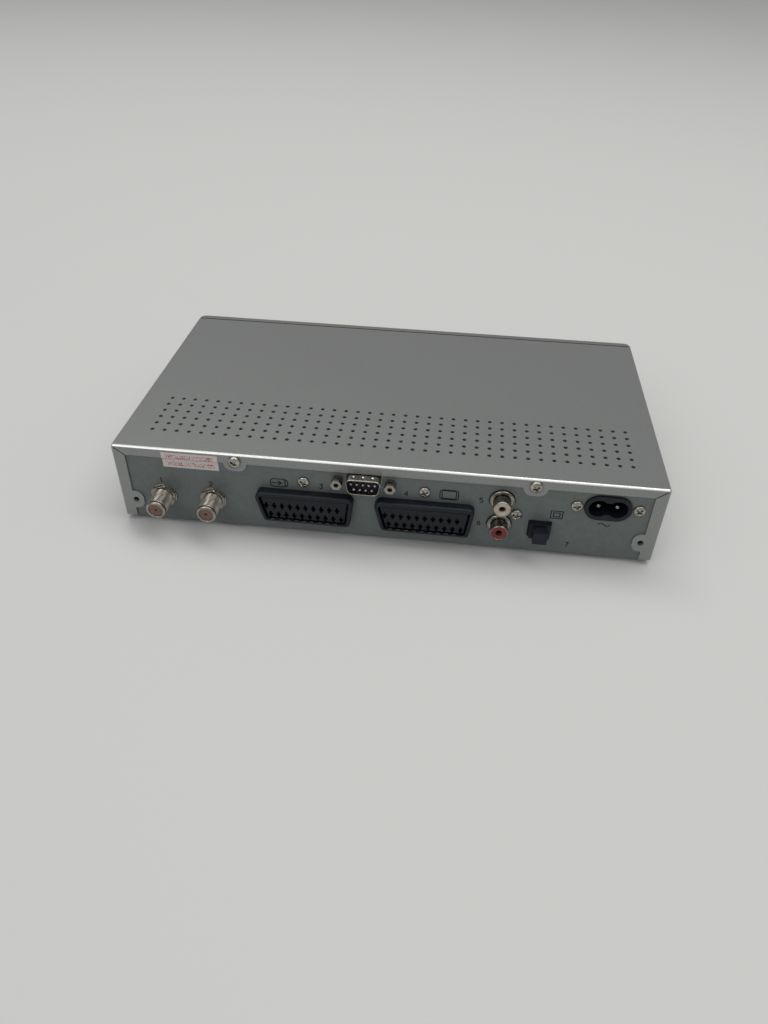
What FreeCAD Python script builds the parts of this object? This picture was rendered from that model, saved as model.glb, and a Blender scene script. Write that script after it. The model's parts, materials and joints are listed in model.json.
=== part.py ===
import FreeCAD, Part
import math
import os
import re
import Sketcher

# Set-top receiver in a folded steel case, in millimetres.
# Every piece is drawn in the case's frame: X across, Y = 0 at the rear face of the top cover and
# negative towards the front, Z = 0 at the underside of the base. The pieces are then placed so
# that the origin is on the table, under the middle of the whole receiver. The aerial barrels are
# on the +X side and the mains inlet on the -X side.

sizes = {
    # casing
    "case_width": 258,
    "case_height": 42,
    "cover_depth": 139.1,
    "bezel_depth": 5.4,
    "wall": 0.8,
    "fold_gap": 0.2,
    "bend_radius": 1.2,
    "cover_hem": 0.4,
    "foot_height": 2.5,
    "foot_radius": 6,
    "foot_inset": 20,
    # rear flange of the cover
    "flange_drop": 5,
    "flange_side": 6,
    "mitre_gap": 0.35,
    "tab_width": 11,
    "tab_drop": 4.3,
    "tab_radius": 4.2,
    "cover_screw_spread": 139.4,
    "cover_screw_drop": 3.9,
    "lug_reach": 5,
    "lug_height": 10.3,
    "lug_low": 5.3,
    "lug_radius": 4,
    "lug_hole_inset": 7.1,
    "lug_hole_radius": 1.5,
    "lug_thread_radius": 1.25,
    # air holes in the cover
    "hole_columns": 39,
    "hole_rows": 6,
    "hole_pitch_x": 6,
    "hole_pitch_y": 5.9,
    "hole_radius": 1,
    "hole_start": 16.1,
    # base tray
    "tray_lip": 11,
    "slot_columns": 12,
    "slot_lines": 2,
    "slot_pitch_x": 17,
    "slot_pitch_y": 46,
    "slot_width": 3,
    "slot_length": 26,
    "slot_start": 100,
    # screws
    "cover_screw_head": 3,
    "cover_screw_rise": 2,
    "cover_screw_radius": 1.5,
    "panel_screw_head": 2.7,
    "panel_screw_rise": 1.7,
    "panel_screw_radius": 1.3,
    "board_screw_head": 2.5,
    "board_screw_rise": 1.5,
    "board_screw_radius": 1.2,
    "screw_reach": 6,
    "screw_gap": 0.05,
    "cross_width": 0.8,
    "cross_span": 3,
    "cross_depth": 0.9,
    # paper seal
    "seal_width": 27,
    "seal_height": 8.7,
    "seal_thickness": 0.12,
    "seal_x": 91.4,
    "seal_drop": 1.8,
    "seal_slope": 1.1,
    # aerial barrels and tuner
    "aerial_x": 107.3,
    "loop_x": 82.7,
    "aerial_z": 14.4,
    "barrel_radius": 4.76,
    "barrel_bore": 3.5,
    "barrel_step": 0.3,
    "barrel_reach": 13,
    "barrel_chamfer": 0.6,
    "barrel_gap": 0.24,
    "core_inset": 0.5,
    "core_hole": 0.6,
    "core_hole_depth": 6,
    "nut_radius": 6.5,
    "nut_thickness": 2,
    "tuner_width": 42,
    "tuner_depth": 50,
    "tuner_height": 13.6,
    "tuner_wall": 0.6,
    "tuner_gap": 0.4,
    # SCART sockets, each about the middle of its contacts
    "scart_first_x": 37.5,
    "scart_second_x": -19.6,
    "scart_z": 13.5,
    "scart_reach": 4.6,
    "scart_top": 10.6,
    "scart_bottom": 6.6,
    "scart_wide_side": 23.4,
    "scart_square_side": 23.9,
    "scart_slant": 3.7,
    "scart_lean": 1.9,
    "scart_corner": 1.9,
    "scart_shoulder": 3.2,
    "scart_rim_top": 2.4,
    "scart_rim_bottom": 1.2,
    "scart_rim_side": 1.8,
    "scart_groove": 0.8,
    "scart_groove_top": 1.4,
    "scart_face_set_back": 2.4,
    "scart_groove_depth": 9,
    "scart_edge": 0.7,
    "scart_body_depth": 19,
    "scart_overlap": 1.2,
    "scart_fit": 0.15,
    "contact_pitch": 3.81,
    "contact_columns": 10,
    "contact_row_gap": 5.1,
    "contact_slot_width": 1.3,
    "contact_slot_height": 3.5,
    "contact_width": 0.6,
    "contact_height": 2.9,
    "contact_set_back": 0.9,
    "contact_depth": 10,
    "scart_screw_rise": 15.9,
    "scart_lug_width": 9,
    "scart_lug_depth": 8,
    # nine-pin serial plug
    "serial_x": 8.8,
    "serial_z": 32.4,
    "serial_reach": 5.6,
    "serial_top_width": 17,
    "serial_bottom_width": 14.4,
    "serial_height": 8.4,
    "serial_corner": 2.3,
    "serial_wall": 0.5,
    "serial_gap": 0.3,
    "serial_flange_width": 30.8,
    "serial_flange_height": 12.4,
    "serial_flange_thickness": 0.8,
    "serial_floor": 1,
    "serial_back_depth": 7,
    "serial_pin_radius": 0.5,
    "serial_pin_pitch": 2.77,
    "serial_row_gap": 2.84,
    "serial_pin_set_back": 0.6,
    "jack_spread": 24.99,
    "jack_reach": 5,
    "jack_across": 4.8,
    "jack_shank": 1.5,
    "jack_thread": 1.15,
    "jack_thread_depth": 4.6,
    "serial_ribbon_width": 12,
    "serial_ribbon_thickness": 1,
    # phono pair
    "phono_x": -55.5,
    "phono_low_z": 14.2,
    "phono_pitch": 14,
    "phono_radius": 4.15,
    "phono_shell_wall": 0.45,
    "phono_reach": 7.2,
    "phono_ring_radius": 6.1,
    "phono_ring_wall": 0.8,
    "phono_ring_rise": 1.4,
    "phono_ring_floor": 0.5,
    "phono_hole_radius": 1.65,
    "phono_insert_inset": 0.2,
    "phono_root": 3,
    "phono_block_width": 13,
    "phono_block_depth": 14,
    "phono_block_height": 28,
    "phono_screw_x": 7.3,
    "phono_screw_z": 20.9,
    # optical socket and its dust plug
    "optical_x": -74.5,
    "optical_z": 13.4,
    "optical_width": 10.4,
    "optical_height": 8.8,
    "optical_reach": 1.2,
    "optical_depth": 14,
    "optical_bore": 6,
    "plug_gap": 0.3,
    "plug_reach": 8,
    "plug_collar": 1.6,
    "plug_collar_width": 9.6,
    "plug_grip_width": 6.6,
    "plug_grip_height": 6.4,
    "plug_shaft": 9,
    # mains inlet
    "inlet_x": -103.5,
    "inlet_z": 28.9,
    "inlet_width": 21.4,
    "inlet_height": 13.3,
    "inlet_reach": 1.2,
    "inlet_depth": 17,
    "inlet_recess": 12,
    "inlet_lobe": 4.6,
    "inlet_waist": 6.6,
    "inlet_fit": 0.15,
    "inlet_ear_width": 36,
    "inlet_ear_thickness": 3,
    "inlet_screw_spread": 28,
    "mains_pin_radius": 1.2,
    "mains_pin_spread": 8.6,
    "mains_pin_set_back": 1.5,
    "mains_tag_reach": 3,
    # boards
    "board_rise": 6,
    "board_thickness": 1.6,
    "board_margin": 3,
    "board_hole_inset": 5,
    "board_rear_gap": 0.6,
    "board_spacing": 4.4,
    "main_board_depth": 119,
    "main_board_hole_rear": 24,
    "power_board_width": 36,
    "power_board_depth": 96,
    "power_board_rear": 22,
    "post_radius": 2.8,
    # parts on the main board
    "processor_x": 18,
    "processor_y": 66,
    "processor_size": 27,
    "processor_height": 2.2,
    "sink_size": 30,
    "sink_height": 14,
    "sink_floor": 2,
    "fin_count": 8,
    "fin_width": 1.3,
    "chip_length": 22,
    "chip_width": 10,
    "chip_height": 1.3,
    "chip_pitch": 15,
    "chip_count": 4,
    "chip_x": -16,
    "chip_y": 96,
    "small_capacitor_radius": 4,
    "small_capacitor_height": 12,
    "small_capacitor_count": 4,
    "small_capacitor_pitch": 12,
    "reader_x": 88,
    "reader_width": 56,
    "reader_depth": 60,
    "reader_height": 8,
    "card_width": 54.6,
    "card_slot_height": 2,
    "card_slot_rise": 4,
    # parts on the power board
    "transformer_width": 26,
    "transformer_depth": 28,
    "transformer_height": 24,
    "transformer_y": 84,
    "core_band": 6,
    "winding_inset": 2.5,
    "bulk_radius": 8,
    "bulk_height": 26,
    "bulk_y": 58,
    "fuse_radius": 2.6,
    "fuse_length": 20,
    "fuse_inset": 12,
    "fuse_y": 38,
    "choke_size": 16,
    "choke_y": 42,
    "power_sink_thickness": 2,
    "power_sink_depth": 34,
    "power_sink_height": 26,
    "power_sink_y": 60,
    "transistor_width": 10,
    "transistor_thickness": 4.5,
    "transistor_height": 15,
    "lead_radius": 0.9,
    "lead_bend": 4,
    "lead_run": 11,
    "harness_count": 4,
    "harness_pitch": 2.5,
    "harness_rise": 9,
    "harness_inset": 4,
    "harness_y": 90,
    # front bezel
    "face_wall": 2.4,
    "bezel_wall": 2.4,
    "bezel_corner": 4,
    "bezel_edge": 1.4,
    "skirt_length": 13,
    "skirt_wall": 1.8,
    "face_offset": 1,
    "window_x": -28,
    "window_width": 84,
    "window_height": 18,
    "window_gap": 0.15,
    "window_lip": 2,
    "window_lip_thickness": 1.2,
    "boss_radius": 2.6,
    "boss_inset": 6,
    "boss_drop": 5,
    # buttons
    "standby_x": -112,
    "standby_radius": 4.6,
    "channel_x": 34,
    "channel_pitch": 15,
    "channel_width": 10,
    "channel_height": 6,
    "channel_corner": 1.6,
    "button_proud": 0.6,
    "button_gap": 0.3,
    "button_rim": 1.2,
    "button_rim_thickness": 1.2,
    "button_stem": 1.6,
    "button_travel": 0.5,
    # front board
    "front_board_width": 172,
    "front_board_spare": 9,
    "front_board_set_back": 11.5,
    "switch_size": 6,
    "switch_height": 3.5,
    "plunger_radius": 1.6,
    "plunger_reach": 1,
    "plunger_root": 1.4,
    "plunger_gap": 0.1,
    "display_width": 60,
    "display_height": 14,
    "display_depth": 6.5,
    "receiver_size": 5,
    "receiver_depth": 5,
    "receiver_offset": 36,
    "lamp_x": -98,
    "lamp_radius": 1.5,
    "lamp_gap": 0.15,
    "front_ribbon_width": 20,
    "front_ribbon_thickness": 0.5,
    "front_ribbon_rise": 16,
    "front_ribbon_run": 8,
    # card flap
    "flap_x": 88,
    "flap_width": 62,
    "flap_height": 19,
    "flap_thickness": 2.2,
    "flap_axis_z": 6.5,
    "flap_barrel": 1.4,
    "flap_gap": 0.3,
    "flap_pin_radius": 0.7,
    "flap_pin_gap": 0.05,
    "flap_pin_length": 1.6,
    "flap_floor": 1.2,
    "flap_margin": 4,
    "flap_back_gap": 0.6,
}

os.makedirs("parts", exist_ok=True)
doc = FreeCAD.newDocument("receiver")
sheet = doc.addObject("Spreadsheet::Sheet", "Sizes")
for row, (word, number) in enumerate(sizes.items(), start=1):
    sheet.set(f"A{row}", word)
    sheet.set(f"B{row}", str(number))
    sheet.setAlias(f"B{row}", word)
doc.recompute()

nodes = []


# Shared tools

def formula(text):
    """The text with each size pointed at its cell of the sheet."""
    return re.sub(r"[a-z_]+", lambda found: f"Sizes.{found[0]}" if found[0] in sizes else found[0], text)


def value(text):
    """The number that a formula gives."""
    return float(sheet.evalExpression(formula(text)))


def bind(thing, prop, text):
    thing.setExpression(prop, formula(text))


def about(centre, span):
    """Low and high formulas of a span about its centre."""
    return f"{centre} - ({span}) / 2", f"{centre} + ({span}) / 2"


def block(name, across, along, up):
    """Box between a low and a high formula in X, Y and Z."""
    part = doc.addObject("Part::Box", name)
    for letter, prop, (low, high) in zip("xyz", ("Length", "Width", "Height"), (across, along, up)):
        bind(part, f"Placement.Base.{letter}", low)
        bind(part, prop, f"({high}) - ({low})")
    return part


turn_to = {
    "x": FreeCAD.Rotation(FreeCAD.Vector(0, 1, 0), 90),
    "y": FreeCAD.Rotation(FreeCAD.Vector(1, 0, 0), -90),
    "z": FreeCAD.Rotation(),
}


def rod(name, axis, start, radius, length, kind="Part::Cylinder"):
    """Cylinder that runs from a start point along an axis."""
    part = doc.addObject(kind, name)
    part.Placement = FreeCAD.Placement(FreeCAD.Vector(), turn_to[axis])
    for letter, text in zip("xyz", start):
        bind(part, f"Placement.Base.{letter}", text)
    bind(part, "Circumradius" if kind == "Part::Prism" else "Radius", radius)
    bind(part, "Height", length)
    return part


def fuse(name, parts):
    joined = doc.addObject("Part::MultiFuse", name)
    joined.Shapes = parts
    return joined


def cut(name, base, tools):
    remainder = doc.addObject("Part::Cut", name)
    remainder.Base = base
    remainder.Tool = tools[0] if len(tools) == 1 else fuse(f"{name}_tools", tools)
    return remainder


def group(name, parts):
    """Separate solids kept in one node."""
    together = doc.addObject("Part::Compound", name)
    together.Links = parts
    return together


def node(label, part, across="0", along="0", up="0"):
    """Label a sub-part and set its origin at a place in the case."""
    if part.TypeId in ("Part::Box", "Part::Cylinder"):
        part.Label = f"{label}_solid"
        part = group(label, [part])
    part.Label = label
    place = (across, f"{rear_face} + ({along})", f"foot_height + ({up})")
    for letter, text in zip("xyz", place):
        bind(part, f"Placement.Base.{letter}", text)
    nodes.append(part)


def origin_of(body, role):
    return next(item for item in body.Origin.OriginFeatures if item.Role == role)


def sketch_on(body, name, role, away):
    sketch = body.newObject("Sketcher::SketchObject", name)
    sketch.AttachmentSupport = (origin_of(body, role), [""])
    sketch.MapMode = "FlatFace"
    bind(sketch, ".AttachmentOffset.Base.z", away)
    return sketch


def outline(body, name, role, points, away="0"):
    """Closed sketch of straight edges, each corner a pair of formulas."""
    sketch = sketch_on(body, name, role, away)
    corners = [FreeCAD.Vector(value(first), value(second), 0) for first, second in points]
    for index, corner in enumerate(corners):
        sketch.addGeometry(Part.LineSegment(corner, corners[(index + 1) % len(corners)]), False)
    for index in range(len(points)):
        following = (index + 1) % len(points)
        sketch.addConstraint(Sketcher.Constraint("Coincident", index, 2, following, 1))
    for index, (corner, pair) in enumerate(zip(corners, points)):
        for kind, start, text in zip(("DistanceX", "DistanceY"), (corner.x, corner.y), pair):
            number = sketch.addConstraint(Sketcher.Constraint(kind, -1, 1, index, 1, start))
            bind(sketch, f"Constraints[{number}]", text)
    return sketch


def circles(body, name, role, centres, radius, away="0"):
    """Sketch of equal circles, each centre a pair of formulas."""
    sketch = sketch_on(body, name, role, away)
    for index, (first, second) in enumerate(centres):
        middle = FreeCAD.Vector(value(first), value(second), 0)
        sketch.addGeometry(Part.Circle(middle, FreeCAD.Vector(0, 0, 1), value(radius)), False)
        limits = (
            (Sketcher.Constraint("DistanceX", -1, 1, index, 3, middle.x), first),
            (Sketcher.Constraint("DistanceY", -1, 1, index, 3, middle.y), second),
            (Sketcher.Constraint("Radius", index, value(radius)), radius),
        )
        for limit, text in limits:
            number = sketch.addConstraint(limit)
            bind(sketch, f"Constraints[{number}]", text)
    return sketch


def pad(body, sketch, length, backwards=False):
    feature = body.newObject("PartDesign::Pad", f"{sketch.Name}_pad")
    feature.Profile = sketch
    bind(feature, "Length", length)
    feature.Reversed = backwards
    doc.recompute()
    return feature


def pocket(body, sketch, depth, backwards=False):
    """Pocket that has to take something away."""
    before = body.Shape.Volume
    feature = body.newObject("PartDesign::Pocket", f"{sketch.Name}_pocket")
    feature.Profile = sketch
    bind(feature, "Length", depth)
    feature.Reversed = backwards
    doc.recompute()
    if body.Shape.Volume >= before:
        raise ValueError(f"{sketch.Name} cuts nothing")
    return feature


def spread(body, feature, runs):
    """Repeat a feature in a grid, each run being an axis, a count and a pitch."""
    grid = body.newObject("PartDesign::MultiTransform", f"{feature.Name}_grid")
    grid.Originals = [feature]
    steps = []
    for role, count, pitch in runs:
        step = doc.addObject("PartDesign::LinearPattern", f"{feature.Name}_run")
        step.Direction = (origin_of(body, role), [""])
        bind(step, "Occurrences", count)
        bind(step, "Length", f"({count} - 1) * {pitch}")
        steps.append(step)
    grid.Transformations = steps
    body.Tip = grid
    doc.recompute()


def edges_where(shape, axis, test):
    """Names of the straight edges along one axis whose middle passes a test."""
    names = []
    for number, edge in enumerate(shape.Edges, start=1):
        ends = [vertex.Point for vertex in edge.Vertexes]
        if len(ends) == 2 and abs((ends[1] - ends[0]).normalize().dot(axis)) > 0.999:
            if test((ends[0] + ends[1]) / 2):
                names.append(f"Edge{number}")
    return names


def round_edges(body, names, radius):
    base = body.Tip
    feature = body.newObject("PartDesign::Fillet", f"{body.Name}_round")
    feature.Base = (base, names)
    bind(feature, "Radius", radius)
    body.Tip = feature
    doc.recompute()


def turned(name, points):
    """Round piece about the Y axis, its profile given as (along, radius) corners."""
    body = doc.addObject("PartDesign::Body", name)
    sketch = outline(body, f"{name}_profile", "YZ_Plane", points)
    feature = body.newObject("PartDesign::Revolution", f"{name}_turn")
    feature.Profile = sketch
    feature.ReferenceAxis = (sketch, ["H_Axis"])
    feature.Angle = 360
    doc.recompute()
    return body


def shift(part, across="0", along="0", up="0"):
    for letter, text in zip("xyz", (across, along, up)):
        bind(part, f"Placement.Base.{letter}", text)
    return part


def same(number, wanted):
    return abs(number - wanted) < 0.01


along_x = FreeCAD.Vector(1, 0, 0)
along_y = FreeCAD.Vector(0, 1, 0)
along_z = FreeCAD.Vector(0, 0, 1)


# Places that several pieces share

front_face = "(-(cover_depth + bezel_depth))"
rear_face = "((cover_depth + bezel_depth + button_proud + wall - barrel_reach) / 2)"
half_width = "(case_width / 2)"
face_z = "(case_height / 2 + face_offset)"
tray_half = "(case_width / 2 - wall - fold_gap)"
tray_top = "(case_height - wall - fold_gap)"
tray_front = "(-(cover_depth - skirt_length - fold_gap))"
panel_face = "(-wall)"
panel_back = "(-2 * wall)"
board_top = "(board_rise + board_thickness)"
inner_half = f"({tray_half} - wall - board_margin)"
power_high = f"(power_board_width - {inner_half})"
main_low = f"({power_high} + board_spacing)"
main_rear = f"({panel_back} - board_rear_gap)"
main_front = f"({main_rear} - main_board_depth)"
power_middle = f"(power_board_width / 2 - {inner_half})"
power_rear = "(-power_board_rear)"
power_front = "(-power_board_rear - power_board_depth)"
cover_screw_z = "(case_height - cover_screw_drop)"
lug_x = "(case_width / 2 - lug_hole_inset)"
lug_z = "(lug_low + lug_height / 2)"
board_face = f"({front_face} + front_board_set_back)"
front_board_low = f"(skirt_wall + board_margin - {tray_half})"
front_board_high = f"({front_board_low} + front_board_width)"
front_board_height = "(case_height - front_board_spare)"
front_hole_low = f"{face_z} - {front_board_height} / 2 + boss_drop"
front_hole_high = f"{face_z} + {front_board_height} / 2 - boss_drop"
card_z = f"({board_top} + card_slot_rise)"

main_board_holes = [
    (f"{main_low} + board_hole_inset", f"{main_rear} - main_board_hole_rear"),
    (f"{inner_half} - board_hole_inset", f"{main_rear} - main_board_hole_rear"),
    (f"{main_low} + board_hole_inset", f"{main_front} + board_hole_inset"),
    (f"{inner_half} - board_hole_inset", f"{main_front} + board_hole_inset"),
]
power_board_holes = [
    (f"board_hole_inset - {inner_half}", f"{power_rear} - board_hole_inset"),
    (f"{power_high} - board_hole_inset", f"{power_front} + board_hole_inset"),
]
bezel_bosses = [
    (f"{front_board_low} + boss_inset", front_hole_low),
    (f"{front_board_low} + boss_inset", front_hole_high),
    (f"{front_board_high} - boss_inset", front_hole_high),
]
scarts = {"recorder_scart": "scart_first_x", "television_scart": "scart_second_x"}
buttons = {
    "standby": "standby_x",
    "channel_down": "channel_x - channel_pitch / 2",
    "channel_up": "channel_x + channel_pitch / 2",
}
panel_screws = [
    ("scart_first_x", "scart_z + scart_screw_rise"),
    ("scart_second_x", "scart_z + scart_screw_rise"),
    ("phono_x - phono_screw_x", "phono_screw_z"),
    ("inlet_x - inlet_screw_spread / 2", "inlet_z"),
    ("inlet_x + inlet_screw_spread / 2", "inlet_z"),
]


def rectangle(across, up):
    """Corners of a rectangle from its low and high formulas."""
    return [(across[0], up[0]), (across[1], up[0]), (across[1], up[1]), (across[0], up[1])]


# Base tray with the rear wall and its openings

def serial_corners(grow):
    """The plug's D shape, grown all round."""
    return [
        (f"serial_x - serial_bottom_width / 2 - {grow}", f"serial_z - serial_height / 2 - {grow}"),
        (f"serial_x + serial_bottom_width / 2 + {grow}", f"serial_z - serial_height / 2 - {grow}"),
        (f"serial_x + serial_top_width / 2 + {grow}", f"serial_z + serial_height / 2 + {grow}"),
        (f"serial_x - serial_top_width / 2 - {grow}", f"serial_z + serial_height / 2 + {grow}"),
    ]


def scart_ring(side, square, top, bottom, corner, middle="0", level="0"):
    """Six corners of a socket's one-sided D shape about a middle and a level."""
    points = [
        (f"{side} - {corner}", top),
        (side, f"{top} - scart_shoulder"),
        (f"{side} - scart_slant", f"-({bottom})"),
        (f"scart_lean - {square}", f"-({bottom})"),
        (f"-({square})", f"{top} - {corner}"),
        (f"{corner} - {square}", top),
    ]
    return [(f"{middle} + {across}", f"{level} + {up}") for across, up in points]


def scart_back(grow, middle="0", level="0"):
    """The socket's body behind its rim, grown all round."""
    return scart_ring(f"(scart_wide_side - scart_overlap + {grow})",
                      f"(scart_square_side - scart_overlap + {grow})",
                      f"(scart_top - scart_overlap + {grow})", f"(scart_z - {board_top} + {grow})",
                      "scart_corner", middle, level)


def make_tray():
    tray = doc.addObject("PartDesign::Body", "chassis_tray")
    floor = rectangle((f"-{tray_half}", tray_half), (tray_front, panel_face))
    pad(tray, outline(tray, "tray_floor", "XY_Plane", floor), "tray_lip")
    inside = rectangle((f"wall - {tray_half}", f"{tray_half} - wall"),
                       (f"{tray_front} + wall", panel_back))
    pocket(tray, outline(tray, "tray_inside", "XY_Plane", inside, "tray_lip"), "tray_lip - wall")
    rear = rectangle((f"-{tray_half}", tray_half), ("0", tray_top))
    pad(tray, outline(tray, "rear_wall", "XZ_Plane", rear, "wall"), "wall")

    def opening(name, points):
        pocket(tray, outline(tray, name, "XZ_Plane", points, "wall"), "wall", True)

    def drill(name, centres, radius):
        pocket(tray, circles(tray, name, "XZ_Plane", centres, radius, "wall"), "wall", True)

    drill("aerial_holes", [("aerial_x", "aerial_z"), ("loop_x", "aerial_z")],
          "barrel_radius + barrel_gap")
    for name, middle in scarts.items():
        opening(f"{name}_opening", scart_back("scart_fit", middle, "scart_z"))
    opening("serial_opening", serial_corners("serial_gap"))
    phono_centres = [("phono_x", "phono_low_z"), ("phono_x", "phono_low_z + phono_pitch")]
    drill("phono_holes", phono_centres, "phono_radius + barrel_gap")
    opening("optical_opening", rectangle(about("optical_x", "optical_width + 2 * plug_gap"),
                                         about("optical_z", "optical_height + 2 * plug_gap")))
    opening("inlet_opening", rectangle(about("inlet_x", "inlet_width - inlet_height"),
                                       about("inlet_z", "inlet_height + 2 * inlet_fit")))
    inlet_ends = [(side, "inlet_z") for side in about("inlet_x", "inlet_width - inlet_height")]
    drill("inlet_ends", inlet_ends, "inlet_height / 2 + inlet_fit")
    drill("jack_holes", [(side, "serial_z") for side in about("serial_x", "jack_spread")],
          "jack_shank + screw_gap")
    drill("panel_screw_holes", panel_screws, "panel_screw_radius + screw_gap")
    drill("cover_screw_holes", [(side, cover_screw_z) for side in about("0", "cover_screw_spread")],
          "cover_screw_radius + screw_gap")
    drill("lug_holes", [(f"-{lug_x}", lug_z), (lug_x, lug_z)], "lug_thread_radius")
    first_slot = rectangle(("-slot_start", "slot_width - slot_start"),
                           (f"{tray_front} + slot_width * 4",
                            f"{tray_front} + slot_width * 4 + slot_length"))
    slot = pocket(tray, outline(tray, "air_slot", "XY_Plane", first_slot, "wall"), "wall")
    spread(tray, slot, [("X_Axis", "slot_columns", "slot_pitch_x"),
                        ("Y_Axis", "slot_lines", "slot_pitch_y")])
    node("chassis_tray", tray)


# Top cover, one folded sheet with its rear flange and air holes

def make_cover():
    cover = doc.addObject("PartDesign::Body", "top_cover")
    inner = f"({half_width} - wall)"
    sheet_line = [
        (f"-{half_width}", "cover_hem"), (f"-{half_width}", "case_height"),
        (half_width, "case_height"), (half_width, "cover_hem"),
        (inner, "cover_hem"), (inner, "case_height - wall"),
        (f"-{inner}", "case_height - wall"), (f"-{inner}", "cover_hem"),
    ]
    pad(cover, outline(cover, "cover_sheet", "XZ_Plane", sheet_line), "cover_depth")

    edge_x = f"({half_width} - flange_side)"
    edge_z = "(case_height - flange_drop)"
    lug_edge = f"({edge_x} - lug_reach)"
    side = [
        (half_width, "case_height"), (half_width, "cover_hem"), (edge_x, "cover_hem"),
        (edge_x, "lug_low"), (lug_edge, "lug_low"),
        (lug_edge, "lug_low + lug_height"), (edge_x, "lug_low + lug_height"),
        (edge_x, edge_z),
        ("cover_screw_spread / 2 + tab_width / 2", edge_z),
        ("cover_screw_spread / 2 + tab_width / 2", f"{edge_z} - tab_drop"),
        ("cover_screw_spread / 2 - tab_width / 2", f"{edge_z} - tab_drop"),
        ("cover_screw_spread / 2 - tab_width / 2", edge_z),
    ]
    other_side = [(f"-({across})", up) for across, up in reversed(side)]
    pad(cover, outline(cover, "rear_flange", "XZ_Plane", side + other_side), "wall")

    tab_z = value(f"{edge_z} - tab_drop")
    lug_at = value(lug_edge)
    tab_corners = edges_where(cover.Shape, along_y, lambda spot: same(spot.z, tab_z))
    lug_corners = edges_where(cover.Shape, along_y, lambda spot: same(abs(spot.x), lug_at))
    round_edges(cover, tab_corners, "tab_radius")
    lug_corners = edges_where(cover.Shape, along_y, lambda spot: same(abs(spot.x), lug_at))
    round_edges(cover, lug_corners, "lug_radius")

    top = value("case_height")
    wide = value(half_width)
    bends = edges_where(cover.Shape, along_y, lambda spot: same(spot.z, top) and same(abs(spot.x), wide))
    bends += edges_where(cover.Shape, along_x, lambda spot: same(spot.z, top) and same(spot.y, 0))
    bends += edges_where(cover.Shape, along_z, lambda spot: same(abs(spot.x), wide) and same(spot.y, 0))
    round_edges(cover, bends, "bend_radius")

    for number, sign in enumerate(("", "-")):
        mitre = [
            (f"{sign}({edge_x})", f"{edge_z} + mitre_gap"),
            (f"{sign}({edge_x})", f"{edge_z} - mitre_gap"),
            (f"{sign}({half_width} - bend_radius)", "case_height - bend_radius - mitre_gap"),
            (f"{sign}({half_width} - bend_radius)", "case_height - bend_radius + mitre_gap"),
        ]
        pocket(cover, outline(cover, f"mitre_{number}", "XZ_Plane", mitre), "wall", True)
    screw_places = [(side, cover_screw_z) for side in about("0", "cover_screw_spread")]
    holes = circles(cover, "screw_holes", "XZ_Plane", screw_places, "cover_screw_radius + screw_gap")
    pocket(cover, holes, "wall", True)
    holes = circles(cover, "lug_openings", "XZ_Plane", [(f"-{lug_x}", lug_z), (lug_x, lug_z)],
                    "lug_hole_radius")
    pocket(cover, holes, "wall", True)

    first = [("-(hole_columns - 1) / 2 * hole_pitch_x", "-hole_start - (hole_rows - 1) * hole_pitch_y")]
    hole = pocket(cover, circles(cover, "air_hole", "XY_Plane", first, "hole_radius", "case_height"),
                  "wall")
    spread(cover, hole, [("X_Axis", "hole_columns", "hole_pitch_x"),
                         ("Y_Axis", "hole_rows", "hole_pitch_y")])
    node("top_cover", cover)


# Pan-head screws with a cross recess

def screw(name, axis, place, head, rise, shank, reach):
    """Screw at a place on the surface it holds, with its head towards +axis."""
    column = "xyz".index(axis)

    def at(offset):
        return [f"{text} + {offset}" if index == column else text for index, text in enumerate(place)]

    crown = f"({rise} / 3)"
    solid = [
        rod(f"{name}_shank", axis, at(f"(-({reach}))"), shank, reach),
        rod(f"{name}_head", axis, at("0"), head, f"{rise} - {crown}"),
        rod(f"{name}_crown", axis, at(f"{rise} - {crown}"), f"{head} * 0.78", crown),
    ]
    deep = (f"{place[column]} + {rise} - cross_depth", f"{place[column]} + {rise} + cross_depth")
    crosses = []
    for long_letter in "xyz".replace(axis, ""):
        spans = [about(text, "cross_width") for text in place]
        spans["xyz".index(long_letter)] = about(place["xyz".index(long_letter)], "cross_span")
        spans[column] = deep
        crosses.append(block(f"{name}_cross", *spans))
    return cut(name, fuse(f"{name}_solid", solid), crosses)


def make_screws():
    cover = [
        screw("cover_screw", "y", (side, "0", cover_screw_z), "cover_screw_head", "cover_screw_rise",
              "cover_screw_radius", "screw_reach + wall")
        for side in about("0", "cover_screw_spread")
    ]
    node("cover_screws", group("cover_screws", cover))
    panel = [
        screw("panel_screw", "y", (across, panel_face, up), "panel_screw_head", "panel_screw_rise",
              "panel_screw_radius", "screw_reach")
        for across, up in panel_screws
    ]
    node("panel_screws", group("panel_screws", panel))
    sizes_of_board_screw = ("board_screw_head", "board_screw_rise", "board_screw_radius")
    board = [
        screw("board_screw", "z", (across, along, board_top), *sizes_of_board_screw, "board_rise")
        for across, along in main_board_holes + power_board_holes
    ]
    board += [
        screw("board_screw", "y", (across, f"{board_face} + board_thickness", up), *sizes_of_board_screw,
              "board_rise")
        for across, up in bezel_bosses
    ]
    node("board_screws", group("board_screws", board))


# Feet and paper seal

def make_feet():
    feet = []
    for across in (f"foot_inset - {half_width}", f"{half_width} - foot_inset"):
        for along in ("-foot_inset", f"{tray_front} + foot_inset"):
            feet.append(rod("foot", "z", (across, along, "-foot_height"), "foot_radius", "foot_height"))
    node("rubber_feet", group("rubber_feet", feet))


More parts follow.
